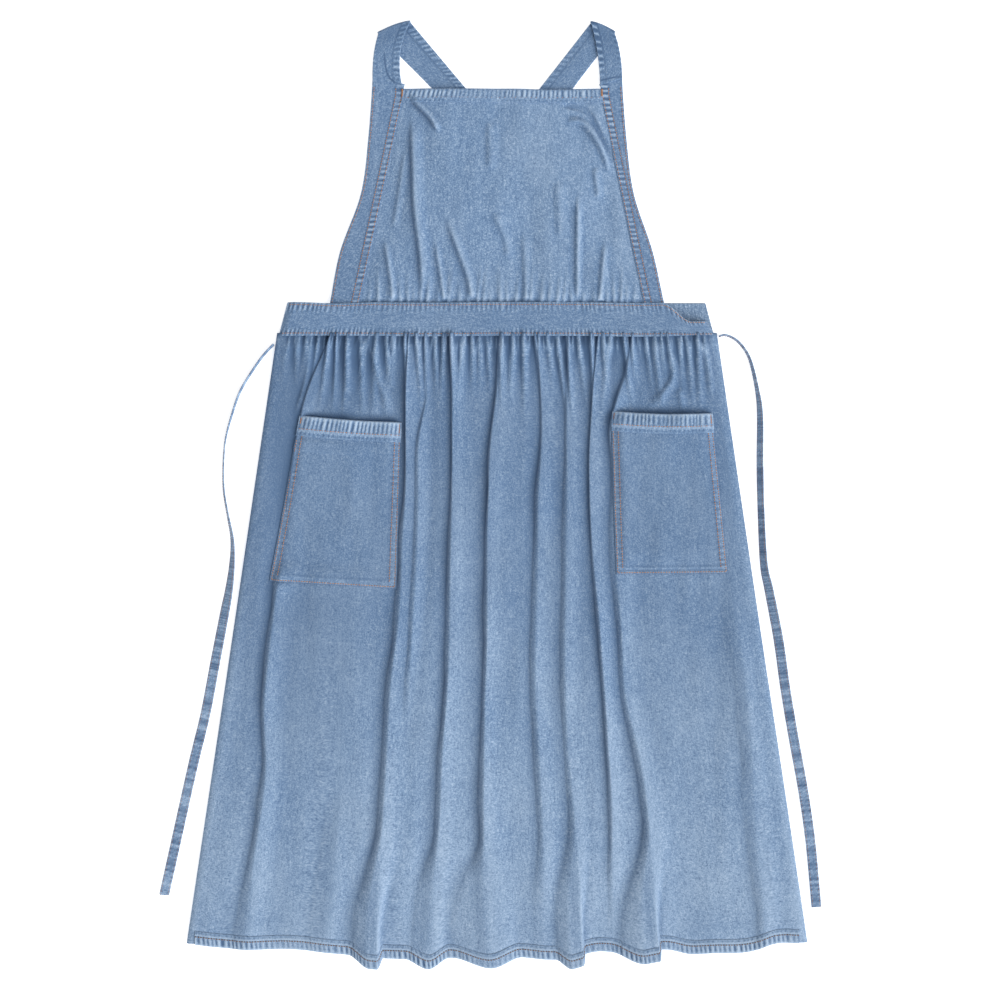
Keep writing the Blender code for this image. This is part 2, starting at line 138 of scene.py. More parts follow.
class Wire:
    """A shader socket that adds Math nodes when it is used in a sum or a product."""

    def __init__(self, looks, socket):
        self.looks = looks
        self.socket = socket

    def _math(self, operation, *values):
        return self.looks.node("ShaderNodeMath", {"operation": operation}, *values)

    def __add__(self, other):
        return self._math("ADD", self, other)

    def __sub__(self, other):
        return self._math("SUBTRACT", self, other)

    def __mul__(self, other):
        return self._math("MULTIPLY", self, other)

    def __rsub__(self, other):
        return self._math("SUBTRACT", other, self)

    def clamp(self, low=0.0, high=1.0):
        return self._math("MINIMUM", self._math("MAXIMUM", self, low), high)

    __radd__ = __add__
    __rmul__ = __mul__


class Looks:
    """One node material, made by calls that take a node's type, settings and inputs."""

    def __init__(self, name):
        self.material = bpy.data.materials.new(name)
        self.material.use_nodes = True
        self.tree = self.material.node_tree
        self.tree.nodes.clear()
        self.output = self.tree.nodes.new("ShaderNodeOutputMaterial")

    def feed(self, socket, value):
        """Link a wire to a socket, or set the socket to a plain value."""
        if isinstance(value, Wire):
            self.tree.links.new(value.socket, socket)
        else:
            socket.default_value = value

    def node(self, kind, settings=None, *values, out=0, **named):
        made = self.tree.nodes.new(kind)
        for key, value in (settings or {}).items():
            setattr(made, key, value)
        for key, value in [*enumerate(values), *named.items()]:
            self.feed(made.inputs[key if isinstance(key, int) else key.replace("_", " ")], value)
        return Wire(self, made.outputs[out])

    def mix(self, amount, a, b):
        made = self.tree.nodes.new("ShaderNodeMix")
        made.data_type = "RGBA"
        for name, value in (("Factor_Float", amount), ("A_Color", a), ("B_Color", b)):
            socket = next(s for s in made.inputs if s.identifier == name)
            self.feed(socket, value if isinstance(value, Wire) else (*value, 1.0))
        return Wire(self, next(s for s in made.outputs if s.identifier == "Result_Color"))

    def finish(self, colour, roughness, bump=None, depth=0.3 * MM, **constants):
        shader = self.tree.nodes.new("ShaderNodeBsdfPrincipled")
        for key, value in {"Base Color": colour, "Roughness": roughness, **constants}.items():
            self.feed(shader.inputs[key.replace("_", " ")], value)
        if bump is not None:
            normal = self.node("ShaderNodeBump", None, Strength=1.0, Distance=depth, Height=bump)
            self.feed(shader.inputs["Normal"], normal)
        self.tree.links.new(shader.outputs[0], self.output.inputs["Surface"])
        return self.material


def denim_material(name, base, turned=False):
    """Washed twill: warp streaks, speckle, clouds of fade, painted light paler towards the bottom,
    abraded edges with painted highlight and painted shade from the cloth's attribute, and a diagonal
    weave.
    """
    colours = bpy.context.scene.apron_looks
    looks = Looks(name)
    cloth = looks.node("ShaderNodeTexCoord", None, out=2)
    place = looks.node("ShaderNodeTexCoord", None, out=3)

    def scaled(x, y):
        return looks.node("ShaderNodeVectorMath", {"operation": "MULTIPLY"}, cloth,
                          (x, y, 1.0) if not turned else (y, x, 1.0))

    def noise(x, y, detail, roughness=0.5):
        return looks.node("ShaderNodeTexNoise", None, scaled(x, y), Scale=1.0, Detail=detail,
                          Roughness=roughness)

    speckle = noise(620, 520, 3.0, 0.75)
    mottled = noise(290, 250, 2.0)
    streaks = noise(430, 80, 2.0, 0.6)
    slubs = noise(190, 9, 1.0)
    clouds = noise(11, 8, 3.0, 0.55)
    patches = noise(105, 60, 3.0, 0.65)
    wear_and_shading = looks.node("ShaderNodeAttribute", {"attribute_name": "wear_and_shading"}, out=2)
    along = looks.node("ShaderNodeSeparateXYZ", None, place, out=1)
    # Painted light: the cloth is painted paler towards the bottom of the apron, as if more light fell
    # there; random clouds of fade are mixed in with it.
    lower = (0.28 - along).clamp(0.0, 0.9) * 1.05

    tone = (speckle - 0.5) * 3.9 + (mottled - 0.5) * 1.4 + (streaks - 0.5) * 0.9
    tone = tone + (slubs - 0.5) * 0.3 + (patches - 0.5) * 0.9
    fade_and_painted_light = lower * 0.34 + (clouds - 0.5) * 0.8
    colour = looks.mix(fade_and_painted_light.clamp(0.0, 1.0), base, colours.worn_and_lit)
    colour = looks.mix((tone + 0.02).clamp(0.0, 1.0), colour, colours.worn_and_lit)
    colour = looks.mix((-0.04 - tone).clamp(0.0, 1.0), colour, colours.deep)
    # Paler where the attribute is above 0: abrasion and painted highlight; deeper where it is below 0:
    # kept dye and painted shade.
    pale_share = (wear_and_shading + (speckle - 0.5) * 0.35 * wear_and_shading).clamp(0.0, 1.0)
    dye_and_shade = (wear_and_shading * -1.0).clamp(0.0, 1.0)
    colour = looks.mix(pale_share, colour, colours.worn_and_lit)
    colour = looks.mix(dye_and_shade, colour, colours.deep)

    twill = looks.node("ShaderNodeTexWave", {"wave_type": "BANDS", "bands_direction": "DIAGONAL",
                                             "wave_profile": "SIN"},
                       scaled(640, 640), Scale=0.16, Distortion=1.2, Detail=1.0)
    bump = twill * 0.35 + speckle * 0.6 + streaks * 0.45
    rough = speckle * 0.12 + 0.82
    return looks.finish(colour, rough, bump, depth=0.35 * MM, Specular_IOR_Level=0.25,
                        Sheen_Weight=0.12, Sheen_Roughness=0.5)


def thread_material(name, base):
    """Twisted thread, with its plies as fine slanted lines."""
    looks = Looks(name)
    place = looks.node("ShaderNodeTexCoord", None, out=3)
    ply = looks.node("ShaderNodeTexWave", {"bands_direction": "DIAGONAL"}, place, Scale=900.0)
    fade = looks.node("ShaderNodeTexNoise", None, place, Scale=60.0, Detail=2.0)
    paler = tuple(min(1.0, c * 1.9 + 0.05) for c in base)
    colour = looks.mix((fade * 1.3 - 0.25).clamp(0.0, 0.85), base, paler)
    return looks.finish(colour, 0.55, ply, depth=0.08 * MM, Specular_IOR_Level=0.4)


MATERIALS = {}


def materials():
    """The materials, made the first time that one is asked for."""
    if not MATERIALS:
        colours = bpy.context.scene.apron_looks
        MATERIALS["denim"] = denim_material("washed_denim", tuple(colours.denim))
        MATERIALS["inside"] = denim_material("denim_inside", tuple(colours.inside))
        MATERIALS["crosswise"] = denim_material("denim_crosswise", tuple(colours.denim), True)
        MATERIALS["thread"] = thread_material("copper_thread", tuple(colours.thread))
        dark = tuple(0.42 * part for part in colours.thread)
        MATERIALS["dark thread"] = thread_material("dark_thread", dark)
    return MATERIALS


# ---- small maths -----------------------------------------------------------------------

def ease(part):
    """A gentle step from 0 to 1."""
    part = np.clip(part, 0.0, 1.0)
    return part * part * (3 - 2 * part)


def bell(away, width):
    """1 in the middle, falling off smoothly within about a width to each side."""
    return np.exp(-(away / width) ** 2)


def smooth(where, *pairs):
    """Values on a smooth curve through (place, value) pairs."""
    places, values = (np.array(part, float) for part in zip(*sorted(pairs)))
    slopes = np.gradient(values, places)
    where = np.clip(where, places[0], places[-1])
    cell = np.clip(np.searchsorted(places, where) - 1, 0, len(places) - 2)
    size = places[cell + 1] - places[cell]
    t = (where - places[cell]) / size
    return (values[cell] * (1 + 2 * t) * (1 - t) ** 2 + slopes[cell] * size * t * (1 - t) ** 2
            + values[cell + 1] * t * t * (3 - 2 * t) + slopes[cell + 1] * size * t * t * (t - 1))


def drift(where, pitch, seed):
    """A smooth random curve between -1 and 1."""
    size = 997
    table = np.random.RandomState(seed).uniform(-1, 1, size)
    place = np.asarray(where) / pitch + 300.0
    cell = np.floor(place).astype(int)
    part = ease(place - cell)
    return table[cell % size] * (1 - part) + table[(cell + 1) % size] * part


def mottle(x, y, pitch_x, pitch_y, seed):
    """A smooth random surface between -1 and 1."""
    size = 211
    table = np.random.RandomState(seed).uniform(-1, 1, (size, size))
    px, py = np.asarray(x) / pitch_x + 90.0, np.asarray(y) / pitch_y + 90.0
    cx, cy = np.floor(px).astype(int), np.floor(py).astype(int)
    fx, fy = ease(px - cx), ease(py - cy)
    left, right, low, high = cx % size, (cx + 1) % size, cy % size, (cy + 1) % size
    below = table[left, low] * (1 - fx) + table[right, low] * fx
    above = table[left, high] * (1 - fx) + table[right, high] * fx
    return below * (1 - fy) + above * fy


def curve_through(points, count):
    """Evenly numbered points on a smooth curve through the given ones."""
    points = np.asarray(points, float)
    ends = np.vstack([2 * points[0] - points[1], points, 2 * points[-1] - points[-2]])
    place = np.linspace(0, len(points) - 1, count)
    cell = np.minimum(place.astype(int), len(points) - 2)
    t = (place - cell)[:, None]
    p0, p1, p2, p3 = (ends[cell + k] for k in range(4))
    return 0.5 * (2 * p1 + (p2 - p0) * t + (2 * p0 - 5 * p1 + 4 * p2 - p3) * t ** 2
                  + (3 * p1 - p0 - 3 * p2 + p3) * t ** 3)


def unit(ways):
    """The same directions with a length of 1."""
    return ways / np.maximum(np.linalg.norm(ways, axis=-1, keepdims=True), 1e-9)


def run_along(points):
    """The distance of each point along its line."""
    return np.concatenate([[0], np.cumsum(np.linalg.norm(np.diff(points, axis=0), axis=1))])


def even(points, step):
    """The same line with points an even step apart."""
    points = np.asarray(points, float)
    run = run_along(points)
    count = max(2, int(round(run[-1] / step)) + 1)
    where = np.linspace(0, run[-1], count)
    return np.stack([np.interp(where, run, points[:, k]) for k in range(points.shape[1])], axis=1)


def puckers(along, seed, pitch):
    """Seam roping: short slanted ridges, never quite evenly spaced, from -1 to 1."""
    wander = drift(along, pitch * 2.3, seed) * 0.32 + drift(along, pitch * 0.9, seed + 5) * 0.12
    wave = np.sin(2 * np.pi * (along / pitch + wander))
    height = (0.62 + 0.38 * drift(along, pitch * 6.5, seed + 9)
              + 0.2 * drift(along, pitch * 1.7, seed + 3))
    return wave * np.clip(height, 0.1, 1.2)


# ---- cloth -----------------------------------------------------------------------------

def link(name, data):
    """A new object in the scene that shows the given data."""
    piece = bpy.data.objects.new(name, data)
    bpy.context.scene.collection.objects.link(piece)
    return piece


def grid_data(name, **sizes):
    """The mesh data of a flat grid."""
    mesh = bmesh.new()
    bmesh.ops.create_grid(mesh, **sizes)
    data = bpy.data.meshes.new(name)
    mesh.to_mesh(data)
    mesh.free()
    return data


def cloth_mesh(name, places, wear_and_shading, look, thickness, around=False):
    """A sheet of cloth: a grid whose points are moved into place, then given its thickness."""
    rows, columns = places.shape[:2]
    data = grid_data(name, x_segments=columns - 1, y_segments=rows - 1, size=0.5)
    spots = np.empty(len(data.vertices) * 3, dtype=np.float32)
    data.vertices.foreach_get("co", spots)
    spots = spots.reshape(-1, 3)
    column = np.rint((spots[:, 0] + 0.5) * (columns - 1)).astype(int)
    row = np.rint((spots[:, 1] + 0.5) * (rows - 1)).astype(int)
    data.vertices.foreach_set("co", places[row, column].astype(np.float32).ravel())
    # This attribute holds abrasion together with painted shade and painted highlight.
    layer = data.attributes.new("wear_and_shading", "FLOAT", "POINT")
    layer.data.foreach_set("value", wear_and_shading[row, column].astype(np.float32))
    corners = np.empty(len(data.loops), dtype=np.int32)
    data.loops.foreach_get("vertex_index", corners)
    flat = flat_sizes(places)[row, column][corners].astype(np.float32)
    data.uv_layers.new(name="UVMap").data.foreach_set("uv", flat.ravel())
    data.update()
    piece = link(name, data)
    data.materials.append(materials()[look])
    if around:
        close_tube(data)
    else:
        wall = piece.modifiers.new("thickness", "SOLIDIFY")
        wall.thickness = thickness
        wall.offset = -1.0
    data.shade_smooth()
    return piece


def close_tube(data):
    """Join the first and last grid lines of a wrapped sheet and close its two ends."""
    mesh = bmesh.new()
    mesh.from_mesh(data)
    bmesh.ops.remove_doubles(mesh, verts=mesh.verts, dist=0.02 * MM)
    rim = [edge for edge in mesh.edges if edge.is_boundary]
    bmesh.ops.holes_fill(mesh, edges=rim)
    bmesh.ops.recalc_face_normals(mesh, faces=mesh.faces)
    mesh.to_mesh(data)
    mesh.free()


def flat_sizes(places):
    """Flat coordinates in metres, from the lengths of the middle row and column."""
    rows, columns = places.shape[:2]
    u, v = run_along(places[rows // 2]), run_along(places[:, columns // 2])
    return np.stack(np.broadcast_arrays(u[None, :], v[:, None]), axis=2)


def sewn(line, lift=0.0):
    """A line of stitches on cloth that faces up, lifted to clear the cloth's puckers."""
    return line + (0, 0, lift), UP


def stitches(name, lines, body, width=None, look="thread"):
    """Topstitching along lines of points: one small spindle of thread for each stitch."""
    cloth = bpy.context.scene.apron_cloth
    width = width or cloth.thread
    grain = bmesh.new()
    bmesh.ops.create_icosphere(grain, subdivisions=1, radius=1.0)
    stitch = bpy.data.meshes.new("stitch")
    grain.to_mesh(stitch)
    grain.free()
    shape = np.empty(len(stitch.vertices) * 3)
    stitch.vertices.foreach_get("co", shape)
    shape = shape.reshape(-1, 3) * (cloth.stitch_length / 2, width / 2, width * 0.36)
    mesh = bmesh.new()
    for line, up in lines:
        line = even(line, cloth.stitch_pitch)
        for a, b in zip(line[:-1], line[1:]):
            along = (b - a) / max(np.linalg.norm(b - a), 1e-6)
            side = np.cross(up, along)
            side /= max(np.linalg.norm(side), 1e-6)
            over = np.cross(along, side)
            middle = (a + b) / 2 + over * (width * 0.12)
            turned = shape @ np.stack([along, side, over]) + middle
            stitch.vertices.foreach_set("co", turned.ravel())
            mesh.from_mesh(stitch)
    data = bpy.data.meshes.new(name)
    mesh.to_mesh(data)
    mesh.free()
    bpy.data.meshes.remove(stitch)
    data.shade_smooth()
    data.materials.append(materials()[look])
    piece = link(name, data)
    if isinstance(body, str):
        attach(piece, body)
    return piece


# ---- the skirt's shape -----------------------------------------------------------------

HEM_LINE = ((-388, -562.5), (-322, -569), (-250, -569.5), (-216, -573), (-150, -580),
            (20, -579), (90, -581), (122, -572.5), (171, -575), (214, -569.5), (240, -575),
            (270, -574), (322, -570.5), (342, -563), (388, -562))
SEAM_Y, SEAM_TUCK = 198 * MM, 3 * MM
WAIST_HALF, HEM_HALF, HEM_SIDE_Y, HEM_MEAN_Y = 276 * MM, 388 * MM, -562 * MM, -572 * MM
FACE_Z = 10.4 * MM              # outer face of the skirt between two folds
LINING_Z = 2.2 * MM             # where the front meets the back panels at the side folds
SIDE_ROLL = 10 * MM


class Fold:
    """A long fold down the skirt: its line, height, slopes and lean, and at the hem how far it
    hangs and how wide its crest is flat."""

    def __init__(self, line, height, left, right, lean=((0, 0), (1, 0)), hang=0.0, flat=0.0):
        self.line, self.height, self.left, self.right = line, height, left, right
        self.lean, self.hang, self.flat = lean, hang, flat

    def shift(self, x, y):
        """How far the fold moves the cloth sideways and up, and its share of full height."""
        mm = y / MM
        seed = int(abs(self.line[0][1])) * 3
        near_waist = ease((mm + 170) / 260)     # folds lean and are steep here, and soft below
        crest = (smooth(mm, *self.line) + 0.6 * drift(y, 65 * MM, seed)) * MM
        height = np.maximum(smooth(mm, *self.height), 0.0) * MM
        height = height * (0.82 + 0.22 * drift(y, 80 * MM, seed + 1))
        left = np.maximum(smooth(mm, *self.left), 2.5) * MM
        left = left * (1.5 - 0.5 * near_waist + 0.3 * drift(y, 48 * MM, seed + 2))
        right = np.maximum(smooth(mm, *self.right), 2.5) * MM
        from_crest = x - crest
        at_hem = ease((-400 - mm) / 130)
        past_flat = np.minimum(from_crest + self.flat * MM * at_hem, 0)
        from_crest = np.where(from_crest < 0, past_flat, from_crest)
        slope = np.clip(1 - from_crest / right, 0, 1)
        sharp = 0.55 * (1 - at_hem)
        share = np.where(from_crest < 0, ease(1 + from_crest / left),
                         sharp * slope ** 2 + (1 - sharp) * ease(slope))
        foot = from_crest + left * 1.15
        # the cloth dips a little beside the steep left foot of a fold
        dip = bell(foot, left * 0.55 + 4 * MM) * np.minimum(height * 0.22, 1.6 * MM)
        tall = ease(height / (2.5 * MM))
        lean = smooth(mm, *self.lean) * MM * tall * (0.25 + 0.75 * near_waist)
        return lean * share ** 0.8, height * share - dip * (share < 0.2), share * tall


def flanks(mid, hem, turn_y=-430):
    """A slope's reach down the skirt: the same until turn_y, then another at the hem."""
    return ((198, mid * 0.6), (60, mid), (-200, mid), (turn_y + 40, mid), (turn_y, mid),
            (-545, hem), (-590, hem))


FOLDS = (
    Fold(((198, -206), (117, -237), (42, -250), (-58, -263), (-158, -278), (-258, -288),
          (-358, -288), (-458, -302), (-590, -318)),
         ((198, 3), (100, 4.5), (-60, 6.5), (-260, 8.5), (-420, 6), (-540, 3.5), (-590, 3)),
         flanks(6.5, 14), flanks(30, 26), ((198, -1), (0, -3), (-300, -3.5), (-520, 0))),
    Fold(((198, -108), (117, -111), (-8, -111), (-58, -115), (-158, -121), (-208, -128),
          (-308, -135), (-408, -142), (-508, -149), (-590, -151)),
         ((198, 3), (117, 7), (0, 8), (-150, 7), (-300, 6.5), (-450, 8), (-590, 11)),
         flanks(6.5, 16), flanks(30, 8), ((198, -1), (60, -3), (-330, -3), (-470, 1), (-590, 4)),
         hang=12, flat=10),
    Fold(((120, -87), (79, -93), (-8, -95), (-108, -99), (-208, -107), (-290, -111)),
         ((120, 1), (79, 3.2), (-8, 4), (-150, 3.2), (-240, 3), (-290, 0)),
         flanks(5, 5), flanks(15, 15), ((120, -1), (-290, -1))),
    Fold(((198, -58), (117, -53), (-8, -52), (-108, -56), (-208, -58), (-308, -65),
          (-408, -71), (-508, -80), (-590, -86)),
         ((198, 3.5), (117, 5.5), (0, 6.5), (-200, 7.5), (-400, 7), (-520, 7), (-590, 8.5)),
         flanks(6, 25), flanks(30, 26), ((198, -1), (60, -3.5), (-400, -3.5), (-560, 0)),
         hang=12),
    Fold(((198, 4), (130, 3), (79, -2), (-58, -8), (-158, -10), (-308, -14), (-408, -15),
          (-508, -15), (-546, -12), (-590, -5)),
         ((198, 3.5), (117, 6), (0, 8), (-200, 8.5), (-400, 8), (-520, 7.5), (-590, 9)),
         flanks(6, 36), flanks(36, 40), ((198, -1), (60, -4), (-400, -4), (-570, 0)),
         hang=12.5),
    Fold(((198, 52), (79, 59), (-8, 55), (-108, 53), (-208, 50), (-308, 53), (-408, 58),
          (-590, 61)),
         ((198, 2.5), (117, 4), (0, 6), (-200, 6.5), (-400, 4.5), (-520, 2), (-590, 1)),
         flanks(6.5, 14), flanks(27, 25), ((198, -1), (0, -3), (-400, -2), (-560, 0))),
    Fold(((198, 93), (117, 90), (-8, 90), (-208, 86), (-308, 89), (-408, 98), (-508, 104),
          (-590, 109)),
         ((198, 2.5), (117, 3.5), (0, 3.2), (-200, 3.5), (-400, 5), (-500, 8), (-590, 12)),
         flanks(6.5, 15), flanks(22, 3, -420), ((198, -1), (-300, -2), (-480, 1), (-590, 4)),
         hang=12, flat=14),
    Fold(((198, 128), (117, 122), (42, 119), (-58, 121), (-158, 129), (-258, 136),
          (-358, 143), (-458, 145), (-560, 146)),
         ((198, 3), (117, 5), (0, 7), (-200, 7.5), (-350, 6), (-470, 3), (-560, 0)),
         flanks(4.2, 6), flanks(24, 20), ((198, -1), (60, -3.5), (-400, -3), (-560, 0))),
    Fold(((198, 171), (150, 164), (117, 153), (79, 145), (42, 149), (-58, 149), (-158, 156),
          (-258, 163), (-308, 174), (-358, 184), (-408, 190), (-508, 196), (-590, 205)),
         ((198, 3), (117, 5.5), (0, 4.5), (-120, 5.5), (-300, 6.5), (-420, 8), (-590, 11)),
         flanks(6.5, 26), flanks(30, 3, -420), ((198, -1), (60, -3), (-330, -2), (-480, 1), (-590, 4)),
         hang=12.5, flat=15),
    Fold(((-110, 290), (-208, 308), (-308, 318), (-422, 325), (-508, 333), (-590, 338)),
         ((-110, 0), (-208, 2.5), (-308, 4), (-422, 4), (-590, 3)),
         flanks(12, 9), flanks(30, 26), ((-110, 0), (-590, 0))),
    Fold(((-380, -196), (-430, -200), (-500, -206), (-560, -212)),
         ((-380, 0), (-430, 2.2), (-500, 3), (-590, 3)),
         flanks(16, 18), flanks(24, 24), ((-380, 0), (-590, 0))),
)

# Pockets: corners in millimetres (mouth left, mouth right, foot left, foot right)
POCKETS = {
    "pocket_left": ((-246.5, 95.6), (-119.5, 87.0), (-285.0, -109.5), (-125.5, -119.0)),
    "pocket_right": ((145.0, 101.0), (269.0, 98.5), (150.0, -101.0), (289.0, -99.5)),
}
# How far the middle of each mouth sags, in millimetres
MOUTH_SAG = {"pocket_left": -1.5, "pocket_right": -2.5}


SKIRT_CREASES = (
    # line, height, left slope, right slope, all in millimetres
    (((214, 182), (220, 150), (206, 124), (184, 102)), 3.6, 3.0, 12.0),
    (((254, 192), (262, 160), (268, 122)), 3.2, 3.0, 12.0),
    (((226, 130), (232, 106)), 3.0, 3.0, 9.0),
    (((-188, 186), (-188, 125)), 2.6, 3.0, 12.0),
    (((-160, 184), (-149, 147), (-136, 98)), 3.4, 3.0, 14.0),
    (((-137, 180), (-132, 130)), 2.2, 3.0, 9.0),
    (((-232, 190), (-240, 140), (-252, 100)), 2.4, 3.0, 12.0),
)


def skirt_half(y):
    """Half the skirt's width at a height."""
    return WAIST_HALF + (HEM_HALF - WAIST_HALF) * (SEAM_Y - y) / (SEAM_Y - HEM_SIDE_Y)


def hem_line(x):
    """The height of the hem at a place across."""
    return smooth(x / MM, *HEM_LINE) * MM


def gather_set(low, high, pitch, seed, lengths, height, lefts, rights):
    """Small gathers that start at a seam: where, how long, how high, how wide, how slanted."""
    pick = np.random.RandomState(seed)
    found = []
    place = low + pick.uniform(0, pitch)
    while place < high:
        size = pick.uniform(0.4, 1.0)
        found.append((place * MM, (lengths[0] + (lengths[1] - lengths[0]) * size) * MM,
                      height * (0.4 + 0.6 * size) * MM, pick.uniform(*lefts) * MM,
                      pick.uniform(*rights) * MM, pick.uniform(-0.12, 0.12)))
        place += pitch * pick.uniform(0.6, 1.4)
    return found


def gathers(x, run, found, spread=0.0):
    """Height of a set of gathers at a place across and a distance from their seam."""
    rise = np.zeros(np.broadcast(x, run).shape)
    for start, length, height, left, right, slant in found:
        crest = start * (1 + spread * run) + slant * run
        off = x - crest
        shape = np.where(off < 0, ease(1 + off / left), ease(1 - off / right))
        fade = ease(1 - run / length) ** 0.8
        rise = np.maximum(rise, height * shape * fade)
    return rise


def crease(x, y, line, height, left, right):
    """Height of a crease that runs along a line, steeper to the left of its way up."""
    line = curve_through(np.array(line, float) * MM, 40)
    best = np.full(x.shape, 1e9)
    side = np.zeros(x.shape)
    spot = np.zeros(x.shape)
    for k, (a, b) in enumerate(zip(line[:-1], line[1:])):
        way = b - a
        size = way @ way
        t = np.clip(((x - a[0]) * way[0] + (y - a[1]) * way[1]) / size, 0, 1)
        off_x, off_y = x - a[0] - way[0] * t, y - a[1] - way[1] * t
        far = np.hypot(off_x, off_y)
        near = far < best
        best = np.where(near, far, best)
        side = np.where(near, np.sign(way[0] * off_y - way[1] * off_x), side)
        spot = np.where(near, (k + t) / (len(line) - 1), spot)
    reach = np.where(side < 0, left, right) * MM
    shape = ease(1 - best / reach)
    fade = ease(spot / 0.22 + 0.15) * ease((1 - spot) / 0.22 + 0.15)
    return height * MM * shape * fade


def pocket_inside(x, y, name):
    """How far inside a pocket's outline a place is: 0 outside and at the seam, rising to 1."""
    mouth_l, mouth_r, foot_l, foot_r = (np.array(c) * MM for c in POCKETS[name])
    down = (mouth_l[1] - y) / (mouth_l[1] - foot_l[1])
    left = mouth_l[0] + (foot_l[0] - mouth_l[0]) * down
    right = mouth_r[0] + (foot_r[0] - mouth_r[0]) * down
    side = np.minimum(x - left, right - x)
    low = y - (foot_l[1] + foot_r[1]) / 2
    high = (mouth_l[1] + mouth_r[1]) / 2 + 14 * MM - y
    return ease(side / (14 * MM)) * ease(low / (12 * MM)) * ease(high / (16 * MM))


def skirt_face(x, y):
    """The skirt front's outer face at a place across and a height before it folds."""
    folds = bpy.context.scene.apron_folds
    x, y = np.broadcast_arrays(np.asarray(x, float), np.asarray(y, float))
    half = skirt_half(y)
    from_side = np.clip((half - np.abs(x)) / (45 * MM), 0, 1)
    z = np.zeros(x.shape)
    across = np.zeros(x.shape)
    hang = np.zeros(x.shape)
    hem = hem_line(x)
    to_hem = ease(1 - (y - hem) / (110 * MM))
    for fold in FOLDS:
        side, up, share = fold.shift(x, y)
        across += side * folds.skirt
        z += up * folds.skirt
        hang += share * fold.hang * MM * to_hem
    # soft unevenness between the folds: long and narrow, finer, then round
    z += mottle(x, y, 30 * MM, 240 * MM, 21) * 1.7 * MM
    z += mottle(x, y, 15 * MM, 110 * MM, 22) * 0.55 * MM
    z += mottle(x, y, 30 * MM, 30 * MM, 25) * 0.25 * MM
    for line, height, left, right in SKIRT_CREASES:
        z += crease(x, y, line, height, left, right)
    run = SEAM_Y - y
    tucks = gathers(x, run, SKIRT_GATHERS, 0.28) + gathers(x, run, SMALL_GATHERS, 0.28)
    z += tucks * folds.gathers
    z -= 3.2 * MM * ease(1 - run / (16 * MM))
    for name in POCKETS:
        inside = pocket_inside(x, y, name)
        z = z * (1 - inside) - 2.5 * MM * inside
        across = across * (1 - inside)
    z *= ease(from_side * 1.3 + 0.1)
    across *= ease(from_side * 1.3)
    return np.stack([x + across, y - hang, FACE_Z + z], axis=-1)


SKIRT_GATHERS = gather_set(-266, 266, 12.5, 11, (36, 120), 6.0, (2.6, 4.0), (6, 12))
SMALL_GATHERS = gather_set(-268, 268, 6.4, 12, (9, 32), 4.2, (2.0, 2.8), (3.0, 5.0))


def spaced(low, high, count, dense):
    """Places from low to high, closer together where dense is high."""
    fine = np.linspace(0, 1, 3000)
    share = np.concatenate([[0], np.cumsum(dense(low + (high - low) * (fine[1:] + fine[:-1]) / 2))])
    return low + (high - low) * np.interp(np.linspace(0, 1, count), share / share[-1], fine)


def skirt_grid(columns=300, rows=150, wrap=7):
    """Columns that crowd at the folds, and rows that crowd at the waist and the hem."""
    down = spaced(0.0, 1.0, rows, lambda d: 1 + 1.8 * (d < 0.1) + 1.6 * (d > 0.965))[::-1]
    grid_x, grid_y = [], []
    for part in down:
        rough_y = SEAM_Y + SEAM_TUCK + (HEM_MEAN_Y - SEAM_Y) * part
        half = skirt_half(rough_y) - SIDE_ROLL
        crests = [smooth(rough_y / MM, *fold.line) * MM for fold in FOLDS]

        def dense(x, crests=crests):
            total = np.full(x.shape, 1.0)
            for crest in crests:
                total += 1.6 * bell(x - crest + 3 * MM, 8 * MM)
            return total
        x = spaced(-half, half, columns, dense)
        top = SEAM_Y + SEAM_TUCK
        grid_x.append(x)
        grid_y.append(top + (hem_line(x) - top) * part)
    grid_x, grid_y = np.array(grid_x), np.array(grid_y)
    places = skirt_face(grid_x, grid_y)
    above_hem = grid_y - hem_line(grid_x)
    places[..., 2] -= 0.6 * MM * ease((20 * MM - above_hem) / (5 * MM))
    sides = []
    for end, sign in ((0, -1), (-1, 1)):
        edge = places[:, end]
        turns = np.linspace(0, math.pi, wrap + 1)[1:]
        high = edge[:, 2]
        middle, reach = (high + LINING_Z) / 2, (high - LINING_Z) / 2
        wrapped = [np.stack([edge[:, 0] + sign * SIDE_ROLL * math.sin(turn), edge[:, 1],
                             middle + reach * math.cos(turn)], axis=1) for turn in turns]
        sides.append(wrapped[::-1] if sign < 0 else wrapped)
    left, right = (np.stack(side, axis=1) for side in sides)
    return np.concatenate([left, places, right], axis=1)


def skirt_painted_shade(x, y):
    """Painted shade: the skirt is painted darker towards the waist and towards the left side, and a
    little at the upper right.
    """
    high = ease((y + 520 * MM) / (600 * MM))
    left = ease((-x - 110 * MM) / (120 * MM)) * (0.35 + 0.65 * high)
    right = ease((x - 150 * MM) / (90 * MM)) * high
    return 0.40 * high + 0.28 * left + 0.06 * right


def fold_painted_shade(x, y):
    """Painted shade: the soft dark band down the left of each long fold, on the side away from the key
    light, less the painted highlight on its crest.
    """
    shade = np.zeros(np.shape(x))
    for fold in FOLDS:
        from_crest = x - smooth(y / MM, *fold.line) * MM
        tall = ease(smooth(y / MM, *fold.height) / 5)
        shade += tall * 0.22 * bell(from_crest + 9 * MM, 9 * MM)
        shade -= tall * 0.13 * bell(from_crest - 6 * MM, 9 * MM)
    return shade


